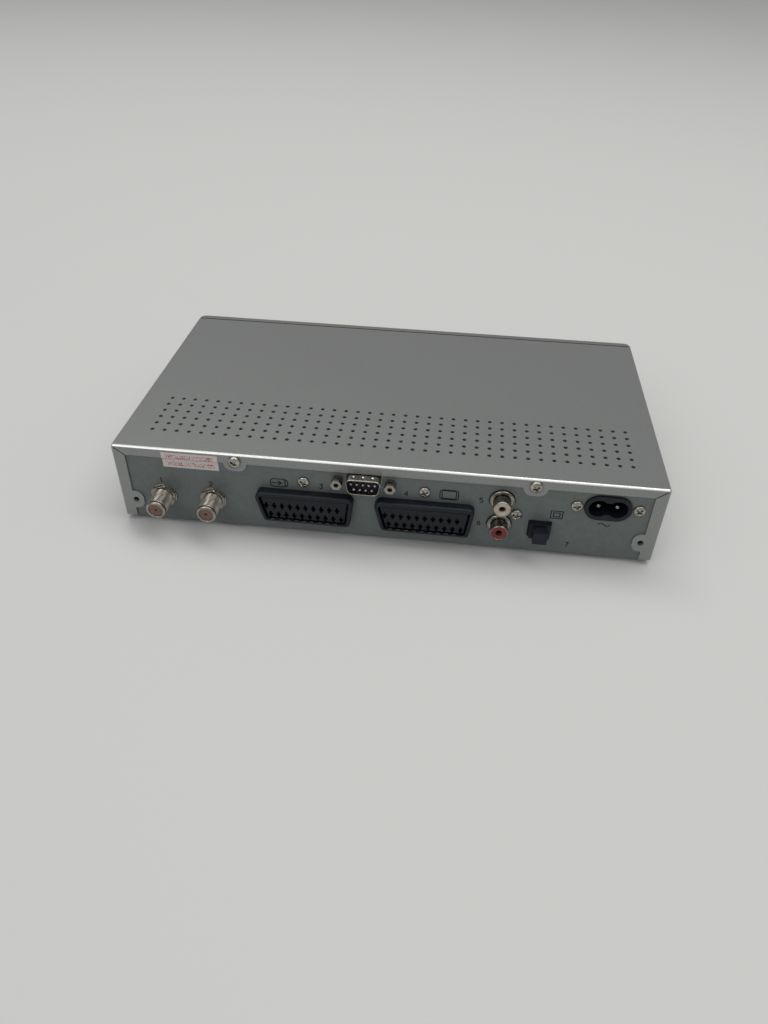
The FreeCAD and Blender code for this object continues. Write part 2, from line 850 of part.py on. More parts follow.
def make_seal():
    seal = doc.addObject("PartDesign::Body", "seal_label")
    top = "(case_height - seal_drop)"
    step = "(case_height - flange_drop)"
    points = [
        (panel_face, f"{top} - seal_height"),
        (panel_face, f"{step} - seal_slope"),
        ("0", step),
        ("0", top),
        ("seal_thickness", top),
        ("seal_thickness", f"{step} - seal_thickness / 2"),
        ("seal_thickness - wall", f"{step} - seal_slope - seal_thickness / 2"),
        ("seal_thickness - wall", f"{top} - seal_height"),
    ]
    pad(seal, outline(seal, "seal_profile", "YZ_Plane", points), "seal_width")
    node("seal_label", seal, "seal_x - seal_width / 2")


# Aerial barrels, turned about their own axes, and the tuner that carries them

def make_aerials():
    root = "(-(wall + tuner_gap))"
    barrel = [
        (root, "0"), (root, "barrel_radius - barrel_step"),
        ("nut_thickness", "barrel_radius - barrel_step"),
        ("nut_thickness", "barrel_radius"), ("barrel_reach - barrel_chamfer", "barrel_radius"),
        ("barrel_reach", "barrel_radius - barrel_chamfer"), ("barrel_reach", "barrel_bore"),
        ("nut_thickness", "barrel_bore"), ("nut_thickness", "0"),
    ]
    face = "(barrel_reach - core_inset)"
    core = [
        ("nut_thickness", "0"), ("nut_thickness", "barrel_bore"), (face, "barrel_bore"),
        (face, "core_hole"), (f"{face} - core_hole_depth", "core_hole"),
        (f"{face} - core_hole_depth", "0"),
    ]
    nut = [
        ("0", "barrel_radius - barrel_step"), ("0", "nut_radius"), ("nut_thickness * 0.7", "nut_radius"),
        ("nut_thickness", "nut_radius - nut_thickness * 0.4"),
        ("nut_thickness", "barrel_radius - barrel_step"),
    ]
    cores = []
    nuts = []
    for name, across in (("satellite_input", "aerial_x"), ("satellite_loop", "loop_x")):
        node(f"{name}_barrel", turned(f"{name}_barrel", barrel), across, panel_face, "aerial_z")
        cores.append(shift(turned(f"{name}_core", core), across))
        nuts.append(shift(turned(f"{name}_nut", nut), across))
    node("barrel_insulators", group("barrel_insulators", cores), "0", panel_face, "aerial_z")
    node("barrel_nuts", group("barrel_nuts", nuts), "0", panel_face, "aerial_z")

    across = about("(aerial_x + loop_x) / 2", "tuner_width")
    rear = f"({panel_back} - tuner_gap)"
    along = (f"{rear} - tuner_depth", rear)
    up = (board_top, f"{board_top} + tuner_height")
    can = block("tuner_outside", across, along, up)
    hollow = block("tuner_inside", *[(f"{low} + tuner_wall", f"{high} - tuner_wall")
                                     for low, high in (across, along, up)])
    node("tuner_can", cut("tuner_can", can, [hollow]))


# SCART sockets, drawn about the middle of their contacts

def contact_places():
    """Middle of each contact, across and up, with the lower row half a pitch along."""
    places = []
    for sign in (1, -1):
        for index in range(int(value("contact_columns"))):
            across = f"({index} - (contact_columns - 1) / 2) * contact_pitch + {sign} * contact_pitch / 4"
            places.append((across, f"{sign} * contact_row_gap / 2"))
    return places


def make_scart(name, middle):
    housing = doc.addObject("PartDesign::Body", f"{name}_moulding")
    rim = scart_ring("scart_wide_side", "scart_square_side", "scart_top", "scart_bottom", "scart_corner")
    pad(housing, outline(housing, f"{name}_rim", "XZ_Plane", rim, "-scart_reach"), "scart_reach")
    front = value("scart_reach")
    rim_edges = [f"Edge{number}" for number, edge in enumerate(housing.Shape.Edges, start=1)
                 if all(same(vertex.Y, front) for vertex in edge.Vertexes)]
    round_edges(housing, rim_edges, "scart_edge")
    pad(housing, outline(housing, f"{name}_back", "XZ_Plane", scart_back("0")), "scart_body_depth")
    lug_up = ("scart_top - scart_overlap - scart_edge", "scart_screw_rise + scart_lug_width / 2")
    lug = outline(housing, f"{name}_lug", "XZ_Plane", rectangle(about("0", "scart_lug_width"), lug_up),
                  "wall")
    pad(housing, lug, "scart_lug_depth")
    hole = circles(housing, f"{name}_screw_hole", "XZ_Plane", [("0", "scart_screw_rise")],
                   "panel_screw_radius", "wall")
    pocket(housing, hole, "scart_lug_depth", True)

    inner = scart_ring("(scart_wide_side - scart_rim_side)", "(scart_square_side - scart_rim_side)",
                       "(scart_top - scart_rim_top)", "(scart_bottom - scart_rim_bottom)",
                       "(scart_corner - scart_rim_side / 2)")
    mouth = outline(housing, f"{name}_mouth", "XZ_Plane", inner, "-scart_reach")
    pocket(housing, mouth, "scart_face_set_back", True)
    core = scart_ring("(scart_wide_side - scart_rim_side - scart_groove)",
                      "(scart_square_side - scart_rim_side - scart_groove)",
                      "(scart_top - scart_rim_top - scart_groove_top)",
                      "(scart_bottom - scart_rim_bottom - scart_groove)",
                      "(scart_corner - scart_rim_side / 2)")
    face = "(scart_reach - scart_face_set_back)"
    groove = outline(housing, f"{name}_groove", "XZ_Plane", inner, f"-{face}")
    pocket(housing, groove, "scart_groove_depth", True)
    pad(housing, outline(housing, f"{name}_core", "XZ_Plane", core, f"-{face}"), "scart_groove_depth")

    slots = [
        block("contact_slot", about(across, "contact_slot_width"),
              (f"{face} - contact_depth", "scart_reach"),
              about(up, "contact_slot_height"))
        for across, up in contact_places()
    ]
    whole = cut(f"{name}_housing_cut", housing, [group(f"{name}_slots", slots)])
    node(f"{name}_housing", whole, middle, panel_face, "scart_z")


def make_contacts():
    contacts = []
    face = "(scart_reach - scart_face_set_back)"
    for middle in scarts.values():
        for across, up in contact_places():
            contacts.append(block(
                "contact", about(f"{middle} + {across}", "contact_width"),
                (f"{face} - contact_depth", f"{face} - contact_set_back"),
                about(f"scart_z + {up}", "contact_height")))
    node("scart_contacts", group("scart_contacts", contacts), "0", panel_face)


# Nine-pin serial plug

def serial_pins():
    """Middle of each pin, five above four."""
    places = []
    for sign, count in ((1, 5), (-1, 4)):
        for index in range(count):
            places.append((f"serial_x + {index - (count - 1) / 2} * serial_pin_pitch",
                           f"serial_z + {sign} * serial_row_gap / 2"))
    return places


def make_serial():
    shell = doc.addObject("PartDesign::Body", "serial_shell")
    plate = rectangle(about("serial_x", "serial_flange_width"), about("serial_z", "serial_flange_height"))
    pad(shell, outline(shell, "serial_plate", "XZ_Plane", plate, "wall"), "serial_flange_thickness")
    tube = outline(shell, "serial_tube", "XZ_Plane", serial_corners("0"), "wall")
    pad(shell, tube, "serial_reach + wall", True)
    tube_corners = edges_where(shell.Shape, along_y, lambda spot: spot.y > 0)
    round_edges(shell, tube_corners, "serial_corner")
    hollow = outline(shell, "serial_hollow", "XZ_Plane", serial_corners("(-serial_wall)"),
                     "-serial_reach")
    pocket(shell, hollow, "serial_reach + wall + serial_flange_thickness", True)
    holes = circles(shell, "serial_jack_holes", "XZ_Plane",
                    [(side, "serial_z") for side in about("serial_x", "jack_spread")],
                    "jack_shank + screw_gap", "wall")
    pocket(shell, holes, "serial_flange_thickness", True)
    node("serial_shell", shell, "0", panel_face)

    insulator = doc.addObject("PartDesign::Body", "serial_insulator")
    plug = outline(insulator, "insulator_plug", "XZ_Plane", serial_corners("(-serial_wall - screw_gap)"),
                   "-serial_floor")
    pad(insulator, plug, "serial_floor + wall + serial_flange_thickness + screw_gap")
    back = outline(insulator, "insulator_back", "XZ_Plane", serial_corners("0"),
                   "wall + serial_flange_thickness")
    pad(insulator, back, "serial_back_depth")
    holes = circles(insulator, "insulator_holes", "XZ_Plane", serial_pins(), "serial_pin_radius",
                    "-serial_floor")
    pocket(insulator, holes, "serial_floor + wall + serial_flange_thickness + serial_back_depth", True)
    node("serial_insulator", insulator, "0", panel_face)

    root = "(-(wall + serial_flange_thickness + serial_back_depth))"
    pins = [
        rod("serial_pin", "y", (across, root, up), "serial_pin_radius",
            f"serial_reach - serial_pin_set_back - {root}")
        for across, up in serial_pins()
    ]
    node("serial_pins", group("serial_pins", pins), "0", panel_face)

    jacks = []
    for side in about("serial_x", "jack_spread"):
        hexagon = rod("jack_hexagon", "y", (side, "0", "serial_z"), "jack_across / sqrt(3)", "jack_reach",
                      "Part::Prism")
        hexagon.Polygon = 6
        shank = rod("jack_shank", "y", (side, "-screw_reach", "serial_z"), "jack_shank", "screw_reach")
        thread = rod("jack_thread", "y", (side, "jack_reach - jack_thread_depth", "serial_z"),
                     "jack_thread", "jack_thread_depth * 2")
        jacks.append(cut("jack", fuse("jack_solid", [hexagon, shank]), [thread]))
    node("serial_jack_screws", group("serial_jack_screws", jacks), "0", panel_face)

    ribbon = doc.addObject("PartDesign::Body", "serial_ribbon")
    start = f"({panel_face} + {root})"
    bend = f"({start} - serial_ribbon_thickness * 4)"
    thick = "serial_ribbon_thickness"
    points = [
        (start, f"serial_z + {thick} / 2"), (start, f"serial_z - {thick} / 2"),
        (f"{bend} + {thick}", f"serial_z - {thick} / 2"),
        (f"{bend} + {thick}", f"scart_z + scart_top + 1"),
        (f"{panel_back} - scart_body_depth - 2 + {thick} / 2", "scart_z + scart_top - 3"),
        (f"{panel_back} - scart_body_depth - 2 + {thick} / 2", board_top),
        (f"{panel_back} - scart_body_depth - 2 - {thick} / 2", board_top),
        (f"{panel_back} - scart_body_depth - 2 - {thick} / 2", f"scart_z + scart_top - 3 + {thick} / 2"),
        (bend, f"scart_z + scart_top + 1 + {thick} / 2"), (bend, f"serial_z + {thick} / 2"),
    ]
    pad(ribbon, outline(ribbon, "ribbon_profile", "YZ_Plane", points), "serial_ribbon_width")
    node("serial_ribbon", ribbon, "serial_x - serial_ribbon_width / 2")


# Phono pair, turned about their own axes

def make_phono():
    root = "(-(wall + phono_root))"
    bore = "(phono_radius - phono_shell_wall)"
    shell = [
        (root, bore), (root, "phono_radius"), ("0", "phono_radius"), ("0", "phono_ring_radius"),
        ("phono_ring_rise", "phono_ring_radius"),
        ("phono_ring_rise", "phono_ring_radius - phono_ring_wall"),
        ("phono_ring_floor", "phono_ring_radius - phono_ring_wall"), ("phono_ring_floor", "phono_radius"),
        ("phono_reach", "phono_radius"), ("phono_reach", bore),
    ]
    face = "(phono_reach - phono_insert_inset)"
    insert = [(root, "phono_hole_radius"), (root, bore), (face, bore), (face, "phono_hole_radius")]
    shells = []
    for name, up in (("right", "phono_low_z"), ("left", "phono_low_z + phono_pitch")):
        shells.append(shift(turned(f"phono_shell_{name}", shell), "0", "0", up))
        node(f"phono_insert_{name}", turned(f"phono_insert_{name}", insert), "phono_x", panel_face, up)
    node("phono_shells", group("phono_shells", shells), "phono_x", panel_face)

    back = f"({panel_face} + {root})"
    body = block("phono_body", about("phono_x", "phono_block_width"),
                 (f"{back} - phono_block_depth", back),
                 (board_top, f"{board_top} + phono_block_height"))
    yoke = block("phono_yoke", about("phono_x", "phono_block_width"), (back, panel_back),
                 (board_top, f"{board_top} + phono_block_height"))
    ear = block("phono_ear", ("phono_x - phono_screw_x - panel_screw_head", "phono_x"),
                (f"{panel_face} - screw_reach - wall", panel_back),
                about("phono_screw_z", "panel_screw_head * 2"))
    holes = [rod("phono_seat", "y", ("phono_x", back, up), "phono_radius + screw_gap", f"-({back})")
             for up in ("phono_low_z", "phono_low_z + phono_pitch")]
    holes.append(rod("phono_screw_hole", "y",
                     ("phono_x - phono_screw_x", f"{panel_face} - screw_reach - wall",
                                               "phono_screw_z"), "panel_screw_radius",
                                               "screw_reach + wall"))
    node("phono_block", cut("phono_block", fuse("phono_solid", [body, yoke, ear]), holes))


# Optical socket and its dust plug

def make_optical():
    across = about("0", "optical_width")
    up = about("0", "optical_height")
    body = block("optical_body", across, ("-optical_depth", "optical_reach"), up)
    step = block("optical_base", across, ("-optical_depth", "-wall"), (f"{board_top} - optical_z", up[0]))
    bore = block("optical_bore", about("0", "optical_bore"), ("-plug_shaft - plug_gap", "optical_reach"),
                 about("0", "optical_bore"))
    node("optical_socket", cut("optical_socket", fuse("optical_solid", [body, step]), [bore]),
         "optical_x", panel_face, "optical_z")
    collar_end = "(optical_reach + plug_collar)"
    shaft_size = "optical_bore - 2 * plug_gap"
    shaft = block("plug_shaft", about("0", shaft_size), ("-plug_shaft", "optical_reach"),
                  about("0", shaft_size))
    collar = block("plug_collar", about("0", "plug_collar_width"), ("optical_reach", collar_end),
                   about("0", "optical_height - plug_gap * 2"))
    grip = block("plug_grip", about("0", "plug_grip_width"), (collar_end, "plug_reach"),
                 about("0", "plug_grip_height"))
    node("optical_dust_plug", fuse("optical_dust_plug", [shaft, collar, grip]), "optical_x", panel_face,
         "optical_z")


# Two-pin mains inlet with its pins and leads

def make_inlet():
    half_straight = "((inlet_width - inlet_height) / 2)"
    deep = ("-inlet_depth", "inlet_reach")
    solid = [block("inlet_middle", (f"-{half_straight}", half_straight), deep,
                   about("0", "inlet_height"))]
    for sign in ("-", ""):
        solid.append(rod("inlet_end", "y", (f"{sign}{half_straight}", deep[0], "0"), "inlet_height / 2",
                         "inlet_depth + inlet_reach"))
    solid.append(block("inlet_ears", about("0", "inlet_ear_width"),
                       ("-wall - inlet_ear_thickness", "-wall"),
                       about("0", "inlet_height")))
    floor = "(inlet_reach - inlet_recess)"
    hollow = [block("inlet_waist", about("0", "mains_pin_spread"), (floor, "inlet_reach"),
                    about("0", "inlet_waist"))]
    for side in about("0", "mains_pin_spread"):
        hollow.append(rod("inlet_lobe", "y", (side, floor, "0"), "inlet_lobe", "inlet_recess"))
        hollow.append(rod("inlet_pin_hole", "y", (side, "-inlet_depth", "0"), "mains_pin_radius",
                          "inlet_depth"))
    for side in about("0", "inlet_screw_spread"):
        hollow.append(rod("inlet_screw_hole", "y", (side, "-wall - inlet_ear_thickness", "0"),
                          "panel_screw_radius + screw_gap", "inlet_ear_thickness"))
    node("mains_inlet", cut("mains_inlet", fuse("inlet_solid", solid), hollow), "inlet_x", panel_face,
         "inlet_z")

    pins = []
    leads = []
    for side in about("0", "mains_pin_spread"):
        start = "(-inlet_depth - mains_tag_reach)"
        pins.append(rod("mains_pin", "y", (side, start, "0"), "mains_pin_radius",
                        f"inlet_reach - mains_pin_set_back - {start}"))
        route = [
            (f"inlet_x + {side}", f"{panel_face} + {start}", "inlet_z"),
            (f"inlet_x + {side}", f"{panel_face} + {start} - lead_run", "inlet_z"),
            (f"inlet_x + {side}", f"{panel_face} + {start} - lead_run", board_top),
        ]
        leads.append(lead("mains_lead", route))
    node("mains_pins", group("mains_pins", pins), "inlet_x", panel_face, "inlet_z")
    node("mains_leads", group("mains_leads", leads))


def lead(name, route):
    """Round wire along a route of straight runs joined by tangent arcs."""
    corners = [FreeCAD.Vector(*[value(text) for text in corner]) for corner in route]
    bend = value("lead_bend")
    edges = []
    start = corners[0]
    for before, corner, after in zip(corners, corners[1:], corners[2:]):
        into = (corner - before).normalize()
        out = (after - corner).normalize()
        turn = math.acos(into.dot(out))
        setback = bend * math.tan(turn / 2)
        first = corner - into * setback
        last = corner + out * setback
        inward = (out - into).normalize()
        middle = corner + inward * (bend / math.cos(turn / 2) - bend)
        edges.append(Part.LineSegment(start, first).toShape())
        edges.append(Part.Arc(first, middle, last).toShape())
        start = last
    edges.append(Part.LineSegment(start, corners[-1]).toShape())
    path = Part.Wire(edges)
    ring = Part.makeCircle(value("lead_radius"), corners[0], corners[1] - corners[0])
    part = doc.addObject("Part::Feature", name)
    part.Shape = path.makePipeShell([Part.Wire([ring])], True, False)
    return part


# Boards, posts and what they carry

def drilled(name, across, along, up, axis, places):
    """Board with a clearance hole at each place."""
    board = block(f"{name}_blank", across, along, up)
    column = "xyz".index(axis)
    low, high = (across, along, up)[column]
    holes = []
    for first, second in places:
        start = [first, second]
        start.insert(column, low)
        holes.append(rod(f"{name}_hole", axis, start, "board_screw_radius + screw_gap",
                         f"({high}) - ({low})"))
    return cut(name, board, holes)


def make_boards():
    level = ("board_rise", board_top)
    node("main_board", drilled("main_board", (main_low, inner_half), (main_front, main_rear), level, "z",
                               main_board_holes))
    node("power_board", drilled("power_board", (f"-{inner_half}", power_high), (power_front, power_rear),
                                level,
                                "z", power_board_holes))
    posts = []
    for across, along in main_board_holes + power_board_holes:
        tube = rod("post_tube", "z", (across, along, "wall"), "post_radius", "board_rise - wall")
        bore = rod("post_bore", "z", (across, along, "wall"), "board_screw_radius", "board_rise - wall")
        posts.append(cut("post", tube, [bore]))
    node("board_posts", group("board_posts", posts))


def make_main_parts():
    across = about("processor_x", "processor_size")
    along = about("(-processor_y)", "processor_size")
    chip_top = f"({board_top} + processor_height)"
    node("processor", block("processor", across, along, (board_top, chip_top)))
    sink_along = about("(-processor_y)", "sink_size")
    pieces = [block("sink_floor", about("processor_x", "sink_size"), sink_along,
                    (chip_top, f"{chip_top} + sink_floor"))]
    for index in range(int(value("fin_count"))):
        low = (f"processor_x - sink_size / 2 + {index} * (sink_size - fin_width) / (fin_count - 1)")
        pieces.append(block("sink_fin", (low, f"{low} + fin_width"), sink_along,
                            (f"{chip_top} + sink_floor", f"{chip_top} + sink_height")))
    node("processor_heat_sink", fuse("processor_heat_sink", pieces))

    chips = []
    for index in range(int(value("chip_count"))):
        middle = f"chip_x + {index} * chip_pitch"
        chips.append(block("chip", about(middle, "chip_width"), about("(-chip_y)", "chip_length"),
                           (board_top, f"{board_top} + chip_height")))
    node("memory_chips", group("memory_chips", chips))

    cans = []
    middle_can = "(small_capacitor_count - 1) / 2"
    for index in range(int(value("small_capacitor_count"))):
        along = f"(-({index} * small_capacitor_pitch) - power_board_rear - small_capacitor_pitch)"
        cans.append(rod("small_capacitor", "z",
                        (f"{main_low} + small_capacitor_radius * 3", along, board_top),
                        "small_capacitor_radius", "small_capacitor_height"))
        across = f"({power_middle} + ({index} - {middle_can}) * small_capacitor_radius * 2.1)"
        cans.append(rod("small_capacitor", "z",
                        (across, f"{power_front} + small_capacitor_radius * 3", board_top),
                        "small_capacitor_radius", "small_capacitor_height"))
    node("electrolytic_capacitors", group("electrolytic_capacitors", cans))

    reader_back = f"({main_front} + reader_depth)"
    body = block("reader_body", about("reader_x", "reader_width"), (main_front, reader_back),
                 (board_top, f"{board_top} + reader_height"))
    slot = block("reader_slot", about("reader_x", "card_width"),
                 (main_front, f"{reader_back} - tuner_wall"),
                 about(card_z, "card_slot_height"))
    node("card_reader", cut("card_reader", body, [slot]))


def make_power_parts():
    middle = "(-transformer_y)"
    up = (board_top, f"{board_top} + transformer_height")
    low_band = about(middle, "transformer_depth")
    across = about(power_middle, "transformer_width")
    bands = [
        block("core_side", across, (low_band[0], f"{low_band[0]} + core_band"), up),
        block("core_side", across, (f"{low_band[1]} - core_band", low_band[1]), up),
        block("core_top", about(power_middle, "core_band * 2"), low_band,
              (f"{up[1]} - core_band", up[1])),
    ]
    node("transformer_core", fuse("transformer_core", bands))
    node("transformer_winding", block(
        "winding", (f"{across[0]} + winding_inset", f"{across[1]} - winding_inset"),
        (f"{low_band[0]} + core_band", f"{low_band[1]} - core_band"),
        (board_top, f"{up[1]} - core_band")))
    node("bulk_capacitor", rod("bulk_capacitor", "z",
                               (f"{power_high} - bulk_radius - screw_gap", "-bulk_y", board_top),
                               "bulk_radius", "bulk_height"))
    node("fuse", rod("fuse", "y", (f"fuse_inset - {inner_half}", "-fuse_y - fuse_length / 2",
                                   f"{board_top} + fuse_radius"),
                     "fuse_radius", "fuse_length"))
    node("choke", block("choke", (f"{power_high} - choke_size", power_high),
                        about("(-choke_y)", "choke_size * 0.7"),
                        (board_top, f"{board_top} + choke_size")))
    plate = (f"-{inner_half}", f"power_sink_thickness - {inner_half}")
    node("power_heat_sink", block("power_sink", plate,
                                  (f"-power_sink_y - power_sink_depth", "-power_sink_y"),
                                  (board_top, f"{board_top} + power_sink_height")))
    node("power_transistor", block(
        "transistor", (plate[1], f"{plate[1]} + transistor_thickness"),
        (f"-power_sink_y - transistor_width", "-power_sink_y"),
        (board_top, f"{board_top} + transistor_height")))
    wires = []
    for index in range(int(value("harness_count"))):
        along = f"(-harness_y - {index} * harness_pitch)"
        start = f"{power_high} - harness_inset"
        end = f"{main_low} + harness_inset"
        route = [(start, along, board_top), (start, along, f"{board_top} + harness_rise"),
                 (end, along, f"{board_top} + harness_rise"), (end, along, board_top)]
        wires.append(lead("harness_wire", route))
    node("power_harness", group("power_harness", wires))


# Front bezel with its window, buttons and card flap

flap_low = "(flap_axis_z - flap_barrel)"
flap_span = (f"{flap_low} - flap_gap", f"{flap_low} + flap_height + flap_gap")
flap_floor_y = f"({front_face} + flap_thickness + flap_back_gap)"
hinge_y = f"({front_face} + flap_barrel)"


def make_bezel():
    bezel = doc.addObject("PartDesign::Body", "bezel_shell")
    face = rectangle((f"-{half_width}", half_width), ("0", "case_height"))
    pad(bezel, outline(bezel, "bezel_face", "XZ_Plane", face, "cover_depth"), "bezel_depth")
    wide = value(half_width)
    front = value(front_face)
    upright = edges_where(bezel.Shape, along_z,
                          lambda spot: same(abs(spot.x), wide) and same(spot.y, front))
    round_edges(bezel, upright, "bezel_corner")
    level = [f"Edge{number}" for number, edge in enumerate(bezel.Shape.Edges, start=1)
             if all(same(vertex.Y, front) for vertex in edge.Vertexes)
             and abs(edge.tangentAt(edge.FirstParameter).z) < 0.01]
    round_edges(bezel, level, "bezel_edge")
    inside = rectangle((f"bezel_wall - {half_width}", f"{half_width} - bezel_wall"),
                       ("bezel_wall", "case_height - bezel_wall"))
    pocket(bezel, outline(bezel, "bezel_inside", "XZ_Plane", inside, "cover_depth"),
           "bezel_depth - face_wall", True)

    skirt_end = f"({tray_front} - fold_gap)"
    skirt = block("skirt_outside", (f"-{tray_half}", tray_half), ("-cover_depth", skirt_end),
                  ("0", tray_top))
    room = block("skirt_inside", (f"skirt_wall - {tray_half}", f"{tray_half} - skirt_wall"),
                 ("-cover_depth", skirt_end), ("skirt_wall", f"{tray_top} - skirt_wall"))
    ring = cut("skirt", skirt, [room])

    back = f"({front_face} + face_wall)"
    solid = [bezel, ring]
    surround_across = about("flap_x", "flap_width + 2 * flap_margin")
    solid.append(block("flap_surround", surround_across,
                       (f"{front_face} + flap_barrel", f"{flap_floor_y} + flap_floor"),
                       (f"bezel_wall / 2", f"{flap_span[1]} + flap_margin")))
    for across, up in bezel_bosses:
        solid.append(rod("boss", "y", (across, f"{front_face} + face_wall / 2", up), "boss_radius",
                         f"front_board_set_back - face_wall / 2"))

    through = ("2 * bezel_depth")
    holes = [
        block("window_hole", about("window_x", "window_width"), (f"{front_face} - face_wall", back),
              about(face_z, "window_height")),
        rod("lamp_hole", "y", ("lamp_x", f"{front_face} - face_wall", face_z), "lamp_radius + lamp_gap",
            through),
        rod("standby_hole", "y", ("standby_x", f"{front_face} - face_wall", face_z),
            "standby_radius + button_gap", f"2 * face_wall"),
        block("flap_recess", about("flap_x", "flap_width + 2 * flap_gap"),
              (f"{front_face} - face_wall", flap_floor_y),
              flap_span),
        block("card_mouth", about("flap_x", "card_width + 2 * flap_gap"),
              (flap_floor_y, f"{flap_floor_y} + flap_floor"),
              about(card_z, "card_slot_height + 2 * flap_gap")),
        rod("hinge_bore", "x", ("flap_x - flap_width / 2 - flap_gap - flap_pin_length", hinge_y,
                                "flap_axis_z"),
            "flap_pin_radius + flap_pin_gap", "flap_width + 2 * flap_gap + 2 * flap_pin_length"),
    ]
    for name in ("channel_down", "channel_up"):
        holes.append(block(f"{name}_hole", about(f"({buttons[name]})", "channel_width + 2 * button_gap"),
                           (f"{front_face} - face_wall", back),
                           about(face_z, "channel_height + 2 * button_gap")))
    for across, up in bezel_bosses:
        holes.append(rod("boss_hole", "y", (across, f"{board_face} - board_rise", up),
                         "board_screw_radius",
                         "board_rise"))
    node("front_bezel", cut("front_bezel", fuse("bezel_solid", solid), holes))

    pane = block("pane", about("window_x", "window_width - 2 * window_gap"), (front_face, back),
                 about(face_z, "window_height - 2 * window_gap"))
    lip = block("pane_lip", about("window_x", "window_width + 2 * window_lip"),
                (back, f"{back} + window_lip_thickness"),
                about(face_z, "window_height + 2 * window_lip"))
    node("display_window", fuse("display_window", [pane, lip]))


def make_flap():
    width = about("0", "flap_width")
    leaf = block("flap_leaf", width, ("-flap_barrel", "flap_thickness - flap_barrel"),
                 ("0", "flap_height - flap_barrel"))
    barrel = rod("flap_barrel", "x", (width[0], "0", "0"), "flap_barrel", "flap_width")
    pin = rod("flap_pin", "x", (f"{width[0]} - flap_pin_length", "0", "0"), "flap_pin_radius",
              "flap_width + 2 * flap_pin_length")
    node("card_flap", fuse("card_flap", [leaf, barrel, pin]), "flap_x", hinge_y, "flap_axis_z")


def make_buttons():
    rim_start = "(face_wall + screw_gap)"
    rim_end = f"({rim_start} + button_rim_thickness)"
    stem_end = "(front_board_set_back - switch_height - plunger_reach)"
    stem = rod("standby_stem", "y", ("0", rim_end, "0"), "button_stem", f"{stem_end} - {rim_end}")
    cap = rod("standby_cap", "y", ("0", "-button_proud", "0"), "standby_radius",
              f"{rim_start} + button_proud")
    rim = rod("standby_rim", "y", ("0", rim_start, "0"), "standby_radius + button_rim",
              "button_rim_thickness")
    node("standby_button", fuse("standby_button", [cap, rim, stem]), buttons["standby"], front_face,
         face_z)
    for name in ("channel_down", "channel_up"):
        button = doc.addObject("PartDesign::Body", f"{name}_cap")
        face = rectangle(about("0", "channel_width"), about("0", "channel_height"))
        pad(button, outline(button, f"{name}_face", "XZ_Plane", face, "button_proud"),
            f"{rim_start} + button_proud",
            True)
        corners = edges_where(button.Shape, along_y, lambda spot: True)
        round_edges(button, corners, "channel_corner")
        rim = block(f"{name}_rim", about("0", "channel_width + 2 * button_rim"), (rim_start, rim_end),
                    about("0", "channel_height + 2 * button_rim"))
        stem = rod(f"{name}_stem", "y", ("0", rim_end, "0"), "button_stem", f"{stem_end} - {rim_end}")
        node(f"{name}_button", fuse(f"{name}_button", [button, rim, stem]), f"({buttons[name]})",
             front_face, face_z)


def make_front_board():
    up = about(face_z, front_board_height)
    board = drilled("front_board", (front_board_low, front_board_high),
                    (board_face, f"{board_face} + board_thickness"),
                    up, "y", bezel_bosses)
    node("front_board", board)
    switches = []
    for name, across in buttons.items():
        body = block("switch_body", about(f"({across})", "switch_size"),
                     (f"{board_face} - switch_height", board_face),
                     about(face_z, "switch_size"))
        bore = rod("switch_bore", "y", (across, f"{board_face} - switch_height", face_z),
                   "plunger_radius + plunger_gap", "plunger_root + button_travel + plunger_gap * 2")
        switches.append(cut("switch", body, [bore]))
        node(f"{name}_plunger", rod(f"{name}_plunger", "y",
                                    (across, f"{board_face} - switch_height - plunger_reach",
                                                            face_z), "plunger_radius",
                                                            "plunger_reach + plunger_root"))
    node("tact_switches", group("tact_switches", switches))
    node("display_module", block("display", about("window_x", "display_width"),
                                 (f"{board_face} - display_depth", board_face),
                                 about(face_z, "display_height")))
    node("infrared_receiver", block("infrared", about("(window_x + receiver_offset)", "receiver_size"),
                                    (f"{board_face} - receiver_depth", board_face),
                                    about(face_z, "receiver_size")))
    node("status_lamp", rod("status_lamp", "y", ("lamp_x", front_face, face_z), "lamp_radius",
                            "front_board_set_back"))

    ribbon = doc.addObject("PartDesign::Body", "front_ribbon")
    start = f"({board_face} + board_thickness)"
    thick = "front_ribbon_thickness"
    over = f"({tray_front} + wall + {thick})"
    points = [
        (start, "front_ribbon_rise"), (over, "front_ribbon_rise"), (over, board_top),
        (f"{over} + front_ribbon_run", board_top),
        (f"{over} + front_ribbon_run", f"{board_top} + {thick}"),
        (f"{over} + {thick}", f"{board_top} + {thick}"),
        (f"{over} + {thick}", f"front_ribbon_rise + {thick}"),
        (start, f"front_ribbon_rise + {thick}"),
    ]
    pad(ribbon, outline(ribbon, "front_ribbon_profile", "YZ_Plane", points), "front_ribbon_width")
    node("front_ribbon", ribbon, "window_x - front_ribbon_width / 2")


make_tray()
make_cover()
make_screws()
make_feet()
make_seal()
make_aerials()
for scart, place in scarts.items():
    make_scart(scart, place)
make_contacts()
make_serial()
make_phono()
make_optical()
make_inlet()
make_boards()
make_main_parts()
make_power_parts()
make_bezel()
make_flap()
make_buttons()
make_front_board()
doc.recompute()

for thing in doc.Objects:
    if "Invalid" in thing.State or "Error" in thing.State:
        raise ValueError(f"{thing.Label} failed: {thing.State}")
for part in nodes:
    if part.Shape.isNull() or not part.Shape.isValid():
        raise ValueError(f"{part.Label} has no valid shape")
for part in nodes:
    part.Shape.exportStep(f"parts/{part.Label}.step")
print(f"{len(nodes)} sub-parts written")
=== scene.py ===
import json
import math

import bmesh
import bpy
import numpy as np
from mathutils import Matrix, Vector
from mathutils.geometry import delaunay_2d_cdt

